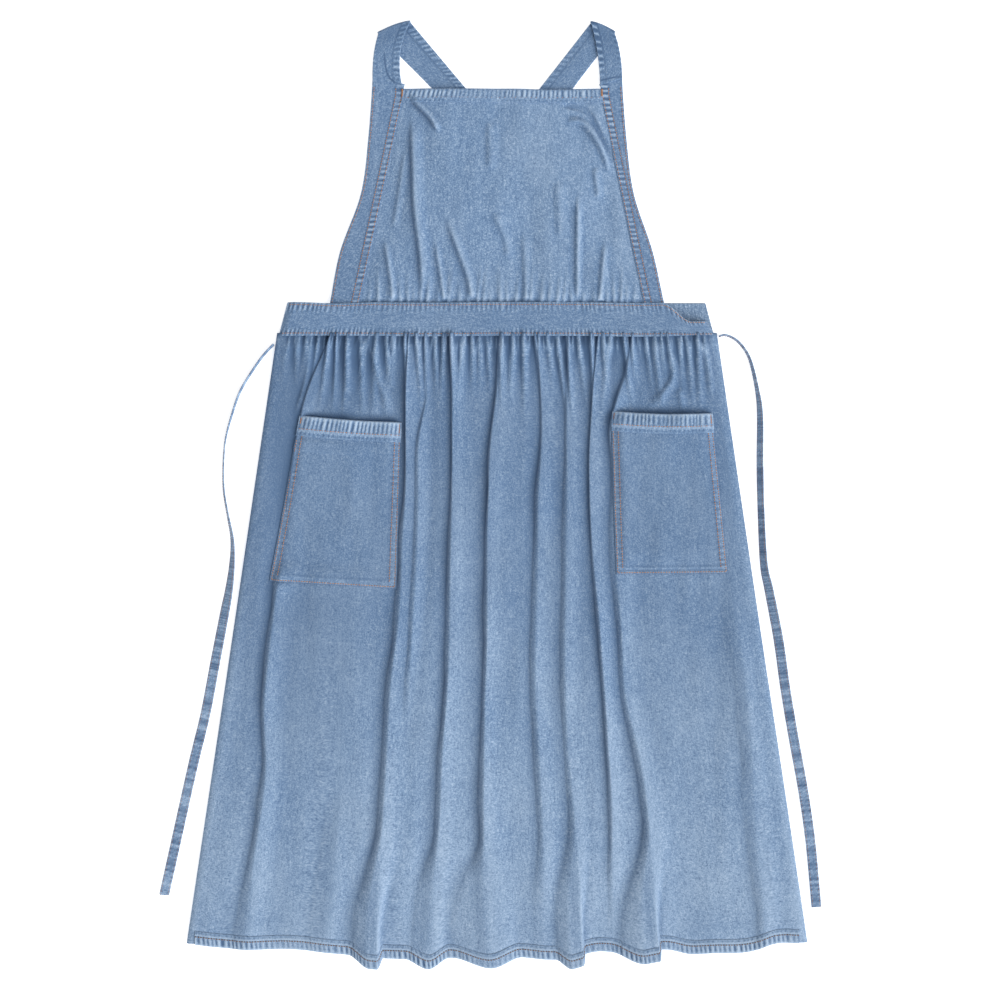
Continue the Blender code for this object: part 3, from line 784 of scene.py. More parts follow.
def mouth_painted_shadow(x, y):
    """Painted shadow in the gap just above each pocket's mouth."""
    shade = np.zeros(np.shape(x))
    for left, right, *_ in POCKETS.values():
        part = (x / MM - left[0]) / (right[0] - left[0])
        mouth_y = (left[1] + (right[1] - left[1]) * part) * MM
        within = ease(part / 0.05) * ease((1 - part) / 0.05)
        deep = 3.5 * MM + 2 * MM * drift(x, 17 * MM, 26)
        shade += 0.5 * (1 + 0.7 * drift(x, 13 * MM, 27)) * within * bell(y - mouth_y, deep)
    return shade


BAND_THICK, WAIST_THICK = 2.2 * MM, 1.2 * MM
BACK_OPENING_HALF = 30 * MM
BLUR_STEPS = 14
DARKEST, PALEST = -0.45, 0.28   # the range that relief can give: below 0 is painted shade in hollows, above is abrasion on crests


def relief_wear_and_shade(places, strength=1.0):
    """Abrasion and painted shade from shape: crests are abraded paler and hollows are painted darker.
    """
    z = places[..., 2]
    blurred = z.copy()
    for _ in range(BLUR_STEPS):
        blurred[1:-1, 1:-1] = (blurred[1:-1, 1:-1] * 2 + blurred[1:-1, :-2] + blurred[1:-1, 2:]
                               + blurred[:-2, 1:-1] + blurred[2:, 1:-1]) / 6
    high = (z - blurred) / MM
    return np.clip(high * 0.22, DARKEST, PALEST) * strength


def cloth_piece(name, places, wear_and_shading, look, body, nodes=(), thickness=None, sheet=None,
                bends=False):
    """Build a cloth piece, hide the imported parts that it stands in for, and hang it on the body that
    carries it or bake its placement; sheet is not used.
    """
    thickness = thickness or bpy.context.scene.apron_cloth.thickness
    piece = cloth_mesh(name, places, wear_and_shading, look, thickness)
    if nodes:
        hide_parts(*nodes)
    if bends:
        bend_with_bib(piece)
    else:
        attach(piece, body)


def bend_with_bib(piece):
    """Bake the piece's placement into its mesh; the cloth is not bent here."""
    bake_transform(piece)


def hem_strip(name, depth, body, face, pitch, seed, columns, rows, out=0.5 * MM, dye=0.0,
              pale_line=0.65, pale_edge=0.5):
    """A turned hem: its puckered face, its folded edge and the layer turned under."""
    cloth = bpy.context.scene.apron_cloth
    run = np.linspace(0, 1, columns)
    over = 1.5                  # the strip runs on past the stitches, by half its depth
    face_rows = np.array([face(run, depth * over * k / rows) for k in range(rows + 1)])
    length = run_along(face_rows[0])
    rope = puckers(length, seed, pitch)[None, :]
    depths = np.linspace(0, over, rows + 1)[:, None]
    shape = np.sin(np.pi * np.clip(depths * 0.85 + 0.12, 0, 1))
    ridge_line = bell(depths - 1.06, 0.10)
    dashes = bell(depths - 1.27, 0.13)
    slant = puckers(length + 0.0012, seed, pitch)[None, :]
    mixed = rope * (1 - depths) + slant * depths
    thin = 1 - 0.7 * ease((depths - 1.05) / 0.4)
    face_rows[..., 2] += out * thin + cloth.pucker_depth * mixed * shape + 0.25 * MM * ridge_line
    edge = face_rows[0]
    fold = []
    out_way = unit(face_rows[0] - face_rows[1])
    under = cloth.thickness * 1.6 + out
    for turn in (140, 90, 40):
        a = math.radians(turn)
        place = edge + out_way * under / 2 * math.sin(a)
        place[:, 2] -= under / 2 * (1 + math.cos(math.pi - a))
        fold.append(place)
    back = [face_rows[k] - (0, 0, under) for k in (rows * 2 // 3, rows // 3, 0)]
    places = np.concatenate([np.array(back), np.array(fold), face_rows])
    pale_share = np.zeros(places.shape[:2])
    ridge = np.clip(mixed, 0, 1)
    hollow = np.clip(-mixed, 0, 1)
    outer = len(back) + len(fold)
    pale_share[outer:] = (ridge * 1.3 - hollow * 1.5) * shape + pale_edge * bell(depths, 0.14)
    pale_share[outer:] += pale_line * ridge_line - dashes * (0.15 + 0.85 * np.clip(rope, 0, 1))
    pale_share[len(back):outer] = pale_edge * 0.7
    cloth_piece(name, places, pale_share - dye, "denim", body)


# ---- operators -------------------------------------------------------------------------

SENSOR = 36.0                   # millimetres across the camera's sensor
VIEW_CENTRE = (3.75 * MM, -8.1 * MM)


class ApronStageMake(bpy.types.Operator):
    """Set the floor, the soft light and the camera straight above"""
    bl_idname = "apron.stage"
    bl_label = "Stage"

    def execute(self, context):
        stage = context.scene.apron_stage
        self.floor(stage)
        self.light(context.scene, stage)
        self.camera(context.scene, stage)
        return {"FINISHED"}

    def floor(self, stage):
        looks = Looks("pale_floor")
        grain = looks.node("ShaderNodeTexNoise", None, Scale=3.0, Detail=2.0)
        colour = looks.mix(grain * 0.02, tuple(stage.floor), (0.9, 0.9, 0.9))
        data = grid_data("floor", x_segments=2, y_segments=2, size=4.0)
        data.materials.append(looks.finish(colour, 0.9, Specular_IOR_Level=0.1,
                                           Emission_Color=(1, 1, 1, 1), Emission_Strength=0.6))
        link("floor", data)

    def light(self, scene, stage):
        world = bpy.data.worlds.new("studio")
        world.use_nodes = True
        sky = world.node_tree.nodes["Background"]
        sky.inputs["Color"].default_value = (1.0, 1.0, 1.0, 1.0)
        sky.inputs["Strength"].default_value = stage.fill
        scene.world = world

        lamp = bpy.data.lights.new("key", "SUN")
        lamp.energy = stage.key
        lamp.angle = math.radians(62)
        key = link("key", lamp)
        key.rotation_euler = (0.0, math.pi / 2 - stage.key_rise, stage.key_turn)

    def camera(self, scene, stage):
        lens = bpy.data.cameras.new("camera")
        lens.sensor_width = SENSOR
        lens.lens = SENSOR * (stage.distance - FACE_Z) / stage.view
        lens.clip_end = 20.0
        camera = link("camera", lens)
        camera.location = (*VIEW_CENTRE, stage.distance)
        scene.camera = camera
        scene.view_settings.view_transform = "Standard"


class ApronSkirt(bpy.types.Operator):
    """Make the gathered skirt, its back panels and its hem"""
    bl_idname = "apron.skirt"
    bl_label = "Skirt"

    def execute(self, context):
        cloth = context.scene.apron_cloth
        places = skirt_grid()
        run = SEAM_Y - places[..., 1]
        # Relief gives painted shade in the hollows of the gathers, stronger near the waist.
        wear_and_shading = relief_wear_and_shade(places) * (1 + 1.8 * ease(1 - run / (60 * MM)))
        # Painted shade under the waistband, where the gathers run in beneath it, darkest along the
        # seam.
        wear_and_shading -= 0.16 * ease(1 - run / (24 * MM)) + 0.4 * bell(run, 3 * MM)
        x, y = places[..., 0], places[..., 1]
        # Painted shade: darker towards the waist and the left, down the left of each fold and just
        # above each pocket's mouth, with painted highlight by the fold crests.
        wear_and_shading -= skirt_painted_shade(x, y) + fold_painted_shade(x, y) + mouth_painted_shadow(x, y)
        cloth_piece("skirt_front", places, wear_and_shading, "denim", SKIRT, ("skirt_front",),
                    sheet=((0.90, 0.79), "gathered", ("skirt_back_left", "skirt_back_right", "floor")))

        def hem_face(run, depth):
            x = -HEM_HALF + SIDE_ROLL + (HEM_HALF - SIDE_ROLL) * 2 * run
            return skirt_face(x, hem_line(x) + depth)
        hem_strip("skirt_hem", cloth.hem, SKIRT, hem_face, 6.2 * MM, 31, columns=900, rows=13)
        line = sewn(hem_face(np.linspace(0.0, 1.0, 2400), cloth.hem * 0.86), 0.95 * MM)
        stitches("skirt_hem_stitches", [line], SKIRT, width=1.4 * MM, look="dark thread")

        for side, name in ((-1, "left"), (1, "right")):
            self.back_panel(side, "skirt_back_" + name)
        return {"FINISHED"}

    def back_panel(self, side, name):
        """One back panel, flat on the table, with its hem a little above the front's."""
        columns, rows = 60, 80
        across = np.linspace(0, 1, columns)[None, :]
        down = np.linspace(1, 0, rows)[:, None]
        part = across if side > 0 else 1 - across
        top = SEAM_Y
        half = skirt_half(top + (HEM_SIDE_Y - top) * down)
        x = side * (BACK_OPENING_HALF + (half - 2.5 * MM - BACK_OPENING_HALF) * part)
        drop = 14 * MM * (1 - np.minimum(np.abs(x) / HEM_HALF, 1.0) ** 2.5)
        slip = smooth(x / MM, (-388, 0), (232, 0), (236, 4), (262, 4), (270, 5), (292, 5),
                      (298, 0), (388, 0)) * MM
        y = top + (HEM_SIDE_Y - drop - top - slip * 0.6) * down
        z = 1.15 * MM + 0.25 * MM * mottle(x, y, 60 * MM, 90 * MM, 41) ** 2
        places = np.stack([x, y, z + 0 * y], axis=-1)
        wear_and_shading = 0.05 * mottle(x, y, 30 * MM, 30 * MM, 42)
        wear_and_shading = wear_and_shading + 0.3 * bell(down - 1, 0.01)
        cloth_piece(name, places, wear_and_shading, "inside", SKIRT, (name,), sheet=(
            (0.36, 0.77), "laid", ("floor",)))


def pocket_frame(name, across, down):
    """A place on a pocket's flat outline: across and down both go from 0 to 1."""
    mouth_l, mouth_r, foot_l, foot_r = (np.array(c) * MM for c in POCKETS[name])
    a, d = np.asarray(across)[..., None], np.asarray(down)[..., None]
    flat = (mouth_l * (1 - a) + mouth_r * a) * (1 - d) + (foot_l * (1 - a) + foot_r * a) * d
    sag = MOUTH_SAG[name] * MM * np.sin(np.pi * np.asarray(across)) * (1 - np.asarray(down))
    return flat[..., 0], flat[..., 1] + sag


def pocket_face(name, across, down):
    """The outer face of a pocket, sewn down at its sides and foot and loose at its mouth."""
    across, down = np.broadcast_arrays(np.asarray(across, float), np.asarray(down, float))
    x, y = pocket_frame(name, across, down)
    ends = []
    for end in (0.0, 1.0):
        seam_x, seam_y = pocket_frame(name, np.full(across.shape, end), down)
        ends.append(skirt_face(seam_x, seam_y))
    left, right = ends
    seam_z = left[..., 2] * (1 - across) + right[..., 2] * across
    foot_x, foot_y = pocket_frame(name, across, 0 * down + 1)
    foot_z = skirt_face(foot_x, foot_y - 1.0 * MM)[..., 2]
    seam_z = seam_z + (foot_z - seam_z) * ease((down - 0.86) / 0.12)
    shift = (left[..., 0] - pocket_frame(name, 0 * across, down)[0]) * (1 - across) ** 4
    shift = shift + (right[..., 0] - pocket_frame(name, 0 * across + 1, down)[0]) * across ** 4
    round_side = np.clip(np.minimum(across, 1 - across) / 0.13, 0, 1)
    bulge = np.sin(round_side * np.pi / 2) * np.clip((1 - down) / 0.07, 0, 1) ** 0.6
    room = (1.6 + 3.6 * (1 - down) ** 2) * MM
    seed = 51 if name == "pocket_left" else 57
    waves = (mottle(x, y, 26 * MM, 110 * MM, seed) * 1.5 * MM
             + mottle(x, y, 12 * MM, 60 * MM, seed + 1) * 0.4 * MM)
    mouth = 2.2 * MM * drift(x, 21 * MM, seed + 2) * ease(1 - down / 0.16)
    z = seam_z + 1.0 * MM + bulge * (room + waves + mouth)
    return np.stack([x + shift, y, z], axis=-1)


class ApronPockets(bpy.types.Operator):
    """Make both patch pockets with their turned mouths and double seams"""
    bl_idname = "apron.pockets"
    bl_label = "Pockets"

    def execute(self, context):
        cloth = context.scene.apron_cloth
        lines = []
        for seed, name in enumerate(POCKETS):
            lines += self.pocket(name, 61 + seed, cloth)
        stitches("pocket_stitches", lines, SKIRT, width=1.2 * MM)
        return {"FINISHED"}

    def pocket(self, name, seed, cloth):
        """One pocket and its turned mouth; gives the lines of its stitches."""
        across = spaced(0, 1, 96, lambda a: 1 + 2.2 * (a < 0.09) + 2.2 * (a > 0.91))[None, :]
        down = spaced(0, 1, 120, lambda d: 1 + 1.5 * (d > 0.92))[::-1][:, None]
        places = pocket_face(name, across, down)
        size_y = (POCKETS[name][0][1] - POCKETS[name][2][1]) * MM
        size_x = (POCKETS[name][1][0] - POCKETS[name][0][0]) * MM
        edge = np.minimum(np.minimum(across, 1 - across) * size_x, (1 - down) * size_y)
        length = np.broadcast_to((1 - down) * size_y, edge.shape)
        rope = puckers(length, seed, 7 * MM)
        belt = bell(edge - 5.5 * MM, 4 * MM)
        places[..., 2] += rope * belt * 0.3 * MM
        wear_and_shading = relief_wear_and_shade(places, 0.8) + rope * belt * 0.34
        wear_and_shading += 0.36 * bell(edge - 2.4 * MM, 1.3 * MM)
        # Painted shade: a dark line along the pocket's very edge, where it stands off the skirt.
        wear_and_shading -= 0.5 * bell(edge, 0.9 * MM)
        wear_and_shading -= 0.22 * bell(edge - 9 * MM, 2 * MM) + 0.37
        cloth_piece(name, places, wear_and_shading, "denim", SKIRT, (name,), sheet=(
            (size_x + 0.012, size_y + 0.012), "laid", ("skirt_front",)))

        def mouth(run, depth):
            return pocket_face(name, run, np.full(run.shape, depth / size_y))
        hem_strip(name + "_hem", cloth.pocket_hem, SKIRT, mouth, 5.4 * MM, seed + 10,
                  columns=210, rows=12, out=0.7 * MM, pale_edge=0.75, dye=0.12)
        lines = [sewn(mouth(np.linspace(0.012, 0.988, 400), cloth.pocket_hem * 0.92), 1.5 * MM)]
        for inset in (2.0 * MM, 7.5 * MM):
            side = inset / size_x
            foot = 1 - inset / size_y
            run = np.linspace(0.012, foot, 400)
            seams = [pocket_face(name, a, run) for a in (side, 1 - side)]
            if inset < 5 * MM:
                seams.append(pocket_face(name, np.linspace(side, 1 - side, 400), foot))
            lines += [sewn(seam, 0.15 * MM) for seam in seams]
        return lines


# ---- waistband -------------------------------------------------------------------------

WAIST_LOW_Y, WAIST_TOP_Y = 197.0 * MM, 239.0 * MM
WAIST_FACE_Z = 12.9 * MM
WAIST_ROLL = 12 * MM
BACK_BAND_Z = 3.4 * MM
SLUMP_X = 206 * MM              # where the band's top edge starts to slump at the right


def waist_face(across, up):
    """The front waistband's outer face: across from -1 to 1, up from 0 to 1."""
    across, up = np.broadcast_arrays(np.asarray(across, float), np.asarray(up, float))
    y = WAIST_LOW_Y + (WAIST_TOP_Y - WAIST_LOW_Y) * up
    half = (274 - 11 * up) * MM
    x = half * across
    inset = np.clip(1 - (half - np.abs(x)) / WAIST_ROLL, 0, 1)
    round_end = np.sqrt(np.maximum(1 - inset ** 2, 0.0))
    z = BACK_BAND_Z + (WAIST_FACE_Z - BACK_BAND_Z) * round_end
    slump = 25 * MM * ease((x - SLUMP_X) / (38 * MM)) * up
    waves = 0.7 * mottle(x, y, 34 * MM, 60 * MM, 81) + 0.3 * mottle(x, y, 13 * MM, 25 * MM, 82)
    z = z + waves * MM * round_end
    bow = 1.2 * MM * drift(x, 90 * MM, 83)
    sag = 2.0 * MM * bell(x + 200 * MM, 30 * MM) * up
    return np.stack([x, y - slump + bow - sag, z], axis=-1)


class ApronWaistband(bpy.types.Operator):
    """Make the waistband's front, facing and backs"""
    bl_idname = "apron.waistband"
    bl_label = "Waistband"

    def execute(self, context):
        self.front()
        self.facing()
        for side, name in ((-1, "waistband_back_left"), (1, "waistband_back_right")):
            self.back_band(side, name)
        return {"FINISHED"}

    def front(self):
        """The front waistband's outer layer, roped along both edges, and its stitches."""
        across = spaced(-1, 1, 560, lambda a: 1 + 0.8 * (np.abs(a) > 0.94))[None, :]
        up = np.linspace(0, 1, 34)[:, None]
        places = waist_face(across, up)
        run = np.broadcast_to(across * 0.27, places.shape[:2])
        low = bell(up - 0.10, 0.13)
        high = bell(up - 0.86, 0.13)
        rope_low, rope_high = puckers(run, 91, 5.2 * MM), puckers(run, 92, 6.0 * MM)
        places[..., 2] += (rope_low * low + rope_high * high) * 0.5 * MM
        edge = 0.3 * bell(up, 0.035) + 0.4 * bell(1 - up, 0.035)
        wear_and_shading = rope_low * low * 0.75 + rope_high * high * 0.7 + edge + relief_wear_and_shade(places, 0.9) - 0.24
        slump_edge = ease((places[..., 0] - SLUMP_X) / (10 * MM)) * bell(1 - up, 0.08)
        wear_and_shading += 0.4 * slump_edge
        cloth_piece("waistband_outer", places, wear_and_shading, "crosswise", SKIRT, ("waistband_outer",),
                    thickness=WAIST_THICK, sheet=((0.56, 0.045), "laid", ("waistband_facing",)))
        along = np.linspace(-0.985, 0.985, 1500)
        lines = [sewn(waist_face(along, part), 0.35 * MM) for part in (0.075, 0.925)]
        stitches("waistband_stitches", lines, SKIRT)

    def facing(self):
        """The front waistband's flat inner layer."""
        across = np.linspace(-244 * MM, 204 * MM, 90)[None, :]
        high = np.linspace(198.5 * MM, 236.5 * MM, 10)[:, None]
        x, y = np.broadcast_arrays(across, high)
        z = 11.1 * MM + 0.3 * MM * mottle(x, y, 40 * MM, 20 * MM, 95)
        places = np.stack([x, y, z], axis=-1)
        cloth_piece("waistband_facing", places, 0.1 * mottle(x, y, 8 * MM, 8 * MM, 96), "inside",
                    SKIRT, ("waistband_facing",),
                    sheet=((0.47, 0.042), "laid", ("waistband_back_left", "waistband_back_right")))

    def back_band(self, side, name):
        """One end of the waistband across the back, whose inner face looks up."""
        across = np.linspace(0, 1, 150)[None, :]
        up = np.linspace(0, 1, 22)[:, None]
        part = across if side > 0 else 1 - across
        y = WAIST_LOW_Y + (WAIST_TOP_Y - WAIST_LOW_Y) * up
        half = (272.5 - 11 * up) * MM
        x = side * (BACK_OPENING_HALF + (half - BACK_OPENING_HALF) * part)
        edge = bell(up - 0.9, 0.12) + bell(up - 0.1, 0.12)
        rope = puckers(np.broadcast_to(x, (22, 150)), 98, 6 * MM)
        z = 2.7 * MM + rope * edge * 0.25 * MM
        places = np.stack([*np.broadcast_arrays(x, y, z)], axis=-1)
        wear_and_shading = rope * edge * 0.3 + 0.4 * bell(1 - up, 0.04)
        cloth_piece(name, places, wear_and_shading, "inside", SKIRT, (name,), thickness=BAND_THICK)


# ---- bib -------------------------------------------------------------------------------

BIB_LOW_Y, BIB_TOP_Y, BAND_TOP_Y = 235.5 * MM, 504 * MM, 517.5 * MM
BIB_SEAMS = {-1: (-174, -118), 1: (185, 131)}
BAND_EDGES = {-1: ((239, -209), (300, -197.5), (377, -170.5), (450, -161), (515, -156)),
              1: ((239, 209), (300, 196), (377, 171.5), (450, 162), (515, 157))}
BIB_FLOOR_Z, BAND_FLOOR_Z = 3.4 * MM, 2.9 * MM      # lowest bib; lowest band before mottling
BIB_EDGE_Z = ((239, 10.0), (300, 6.4), (380, 3.9), (470, 3.7), (504, 4.6), (540, 5.4))

CREASES = (
    # line, height, left slope, right slope, all in millimetres
    (((-110, 497), (-92, 479), (-83, 469), (-73, 452)), 3.6, 3.0, 9.0),
    (((-107, 470), (-105, 420), (-103, 360), (-96, 300), (-92, 250)), 3.4, 4.0, 17.0),
    (((-141, 317), (-133, 268), (-130, 240)), 2.2, 3.0, 8.0),
    (((-78, 317), (-69, 261), (-66, 240)), 2.0, 3.0, 8.0),
    (((-64, 346), (-38, 275), (-30, 240)), 2.6, 4.0, 12.0),
    (((-4, 352), (10, 320), (14, 294)), 1.3, 5.0, 12.0),
    (((-9, 467), (-8, 404)), 1.3, 7.0, 14.0),
    (((101, 374), (100, 300), (100, 240)), 2.6, 2.5, 9.0),
    (((135, 317), (129, 252), (128, 240)), 2.2, 3.0, 9.0),
    (((122, 409), (127, 369)), 1.6, 4.0, 9.0),
    (((76, 392), (80, 317)), 1.3, 8.0, 14.0),
    (((80, 487), (109, 481), (123, 461), (151, 409)), -3.0, 5.0, 6.0),
    (((88, 468), (110, 462), (131, 432), (143, 400)), 2.8, 6.0, 7.0),
    (((33, 330), (36, 262), (38, 240)), 1.4, 4.0, 12.0),
    (((-115, 430), (-122, 380), (-130, 330)), 1.2, 4.0, 9.0),
)


BIB_TUCKS = gather_set(-164, 175, 11.0, 17, (12, 60), 2.0, (2.0, 3.4), (5, 9))


def bib_seam(side, y):
    """The place across of one of the bib's side seams at a height."""
    foot, top = BIB_SEAMS[side]
    return (foot + (top - foot) * (y - 238 * MM) / (266 * MM)) * MM


def bib_face(across, y):
    """The bib's outer face: across from 0 to 1 between the side seams, at a height."""
    folds = bpy.context.scene.apron_folds
    across, y = np.broadcast_arrays(np.asarray(across, float), np.asarray(y, float))
    left, right = bib_seam(-1, y) + 0.5 * MM, bib_seam(1, y) - 0.5 * MM
    x = left + (right - left) * across
    edge = smooth(y / MM, *BIB_EDGE_Z) * MM
    crown = smooth(y / MM, (239, 1.2), (300, 3.8), (420, 6.0), (504, 3.4)) * MM
    middle = 1 - np.abs(2 * across - 1) ** 3
    z = edge + crown * middle
    soft = ease(np.minimum(across, 1 - across) / 0.06)
    folded = mottle(x, y, 34 * MM, 90 * MM, 101) * 2.3 * MM
    folded = folded + mottle(x, y, 15 * MM, 40 * MM, 102) * 0.5 * MM
    for line, height, left_reach, right_reach in CREASES:
        folded = folded + crease(x, y, line, height * 1.5, left_reach, right_reach)
    folded = folded + gathers(x, y - WAIST_TOP_Y, BIB_TUCKS, -0.1)
    folded = folded - 1.2 * MM * ease(1 - (y - WAIST_TOP_Y) / (10 * MM))
    top_x = drift(x, 60 * MM, 103) * 1.2 * MM * ease((y - 480 * MM) / (24 * MM))
    z = np.maximum(z + folded * (0.25 + 0.75 * soft) * folds.bib, BIB_FLOOR_Z)
    return np.stack([x, y + top_x, z], axis=-1)


def band_face(side, part, up):
    """A side band's outer face: part from the inner seam outwards, up from 0 to 1."""
    part, up = np.broadcast_arrays(np.asarray(part, float), np.asarray(up, float))
    y = BIB_LOW_Y + (BAND_TOP_Y - BIB_LOW_Y) * up
    over_bib = 1.6 * MM - 1.9 * MM * ease((y - 500 * MM) / (9 * MM))
    inner = bib_seam(side, y) - side * over_bib
    outer = smooth(y / MM, *BAND_EDGES[side]) * MM
    x = inner + (outer - inner) * part
    slope = 9 * MM * (part - 0.5) * ease((y - BIB_TOP_Y) / (13.5 * MM))
    z = smooth(y / MM, *BIB_EDGE_Z) * MM + 0.9 * MM - 2 * MM * part * (1 - up)
    z = np.maximum(z, BAND_FLOOR_Z)
    z = z + mottle(x, y, 25 * MM, 45 * MM, 111 + side) * 0.5 * MM
    return np.stack([x, y + slope, z], axis=-1)


class ApronBib(bpy.types.Operator):
    """Make the gathered bib, its hem and the two side bands"""
    bl_idname = "apron.bib"
    bl_label = "Bib"

    def execute(self, context):
        cloth = context.scene.apron_cloth
        across = np.linspace(0, 1, 190)[None, :]
        y = np.linspace(BIB_LOW_Y, BIB_TOP_Y, 190)[:, None]
        places = bib_face(across, y)
        # Relief gives painted shade in the hollows of the bib's tucks, stronger near the waist.
        wear_and_shading = relief_wear_and_shade(places, 1.3) * (1 + 1.6 * ease(1 - (y - WAIST_TOP_Y) / (24 * MM)))
        grid_x, grid_y = places[..., 0], places[..., 1]
        wear_and_shading += 0.07 * ease((grid_x + 20 * MM) / (90 * MM))
        # Painted shade along the foot of the bib, where it meets the waistband.
        wear_and_shading -= 0.35 * bell(grid_y - WAIST_TOP_Y, 3 * MM)
        # Painted shade down the side of each crease away from the key light, and in the middle of the
        # groove.
        for line, height, *_ in CREASES:
            beside = 4.5 * MM if height > 0 else 0.0
            wear_and_shading -= 0.10 * abs(height) * crease(grid_x + beside, grid_y, line, 1.0, 8.0, 8.0) / MM
        cloth_piece("bib_panel", places, wear_and_shading, "denim", BIB, ("bib_panel",), bends=True,
                    sheet=((0.315, 0.275), "gathered", ("shoulder_strap_left", "shoulder_strap_right")))

        def top(run, depth):
            return bib_face(run, np.full(run.shape, BIB_TOP_Y + 0.5 * MM - depth))
        hem_strip("bib_hem", cloth.bib_hem, BIB, top, 5.6 * MM, 121, columns=330, rows=12,
                  out=0.6 * MM, pale_edge=0.0, pale_line=0.1)
        lines = [sewn(top(np.linspace(0.01, 0.99, 900), cloth.bib_hem * 0.9), 1.2 * MM)]

        for side, name in ((-1, "side_band_left"), (1, "side_band_right")):
            lines += self.band(side, name)
        piece = stitches("bib_stitches", lines, None, width=1.1 * MM)
        bend_with_bib(piece)
        return {"FINISHED"}

    def band(self, side, name):
        """One side band; gives the lines of its stitches."""
        part = np.linspace(0, 1, 26)[None, :]
        up = np.linspace(0, 1, 240)[:, None]
        part = part if side > 0 else part[:, ::-1]
        places = band_face(side, part, up)
        width = np.abs(places[:, 0, 0] - places[:, -1, 0])[:, None]
        from_seam = part * width
        length = np.broadcast_to(places[..., 1], from_seam.shape)
        rope = puckers(length, 131 + side, 6.6 * MM)
        strip = ease(from_seam / (1.5 * MM)) * ease((10 * MM - from_seam) / (2 * MM))
        outer = bell(width - from_seam - 3 * MM, 2.5 * MM)
        places[..., 2] += rope * (strip * 0.45 + outer * 0.25) * MM
        uneven = 0.75 + 0.5 * drift(length, 21 * MM, 137)
        wear_and_shading = rope * uneven * (strip * 0.95 + outer * 0.4) + relief_wear_and_shade(places, 0.6) - 0.22
        wear_and_shading += 0.32 * bell(width - from_seam, 1.3 * MM)
        wear_and_shading -= 0.12 * bell(from_seam, 1.2 * MM)
        wear_and_shading -= 0.4 * bell(from_seam - 10.4 * MM, 1.2 * MM)
        cloth_piece(name, places, wear_and_shading, "denim", BIB, (name,), thickness=BAND_THICK, bends=True)
        run = np.linspace(0.01, 0.97, 700)
        mean = np.interp(run, up[:, 0], width[:, 0])
        insets = (2.0 * MM / mean, 1 - 2.5 * MM / mean, 9.6 * MM / mean)
        return [sewn(band_face(side, inset, run), 0.2 * MM) for inset in insets]


# ---- shoulder straps -------------------------------------------------------------------

STRAPS = {
    # outer and inner: the front edges from the seam to the shoulder fold; back: where the edges
    # pass the bib's top; end: where they meet the waistband; over: 1 where it crosses on top;
    # seam: the line along which it joins its side band; all but over in millimetres
    "shoulder_strap_left": {
        "outer": ((-156, 519.5), (-154.5, 550), (-148.8, 576)),
        "inner": ((-119, 511.5), (-121, 553), (-108.5, 591)),
        "back": ((-81, 508), (-38.8, 508)), "end": (134, 177), "over": 0.0,
        "seam": ((-141, 556), (-140, 538), (-136, 523), (-128, 515.5), (-114, 510))},
    "shoulder_strap_right": {
        "outer": ((157, 519.5), (154.5, 550), (147.5, 577)),
        "inner": ((129, 511.5), (126, 551), (117.5, 590)),
        "back": ((95, 508), (53.5, 508)), "end": (-98, -140), "over": 1.0,
        "seam": ((124, 515), (134, 518), (146, 521), (162, 523))},
}
STRAP_LOW_Z, STRAP_HIGH_Z = 1.6 * MM, 4.9 * MM
STRAP_WIDTH, STRAP_END_Y = 36 * MM, 239.3 * MM
STRAP_FLOOR_Z = 0.45 * MM       # no point of a strap's outer face is lower
STRAP_COLUMNS = 30
FRONT_ROWS, TURN_ROWS, BACK_ROWS = 44, 7, 270
FOLD_ROW = FRONT_ROWS + TURN_ROWS // 2      # the row along the crown of the shoulder fold


def strap_edges(strap):
    """Both edges of a strap as finely pointed lines, from its front seam round to its end."""
    outer, inner = (np.array(strap[key]) * MM for key in ("outer", "inner"))
    crease_way = inner[2] - outer[2]
    out = np.array([-crease_way[1], crease_way[0]])
    out = out / np.linalg.norm(out) * np.sign(out[1])
    edges = []
    for rail, top, foot in ((outer, strap["back"][0], strap["end"][0]),
                            (inner, strap["back"][1], strap["end"][1])):
        t = np.linspace(0, 1, FRONT_ROWS)[:, None]
        front = (rail[0] * (1 - t) * (1 - 2 * t) + rail[1] * 4 * t * (1 - t)
                 + rail[2] * t * (2 * t - 1))
        seam_z = smooth(np.array([515.0]), *BIB_EDGE_Z)[0] * MM + 0.3 * MM
        front = np.hstack([front, seam_z + (STRAP_HIGH_Z - seam_z) * ease(t)])
        middle, radius = (STRAP_HIGH_Z + STRAP_LOW_Z) / 2, (STRAP_HIGH_Z - STRAP_LOW_Z) / 2
        turn = np.radians(90 - 180 * np.arange(1, TURN_ROWS + 1) / (TURN_ROWS + 1))[:, None]
        fold = np.hstack([rail[2] + out * radius * np.cos(turn), middle + radius * np.sin(turn)])
        low = np.array(top) * MM
        end = np.array([foot * MM, STRAP_END_Y])
        t = np.linspace(0, 1, BACK_ROWS)[:, None]
        back = np.where(t < 0.25, rail[2] + (low - rail[2]) * np.minimum(t / 0.25, 1),
                        low + (end - low) * np.maximum(t - 0.25, 0) / 0.75)
        hump = ease((95 * MM - np.abs(back[:, 1:] - 420 * MM)) / (50 * MM)) * strap["over"]
        back = np.hstack([back, STRAP_LOW_Z + hump * 2.8 * MM])
        edges.append(np.vstack([front, fold, back]))
    return edges


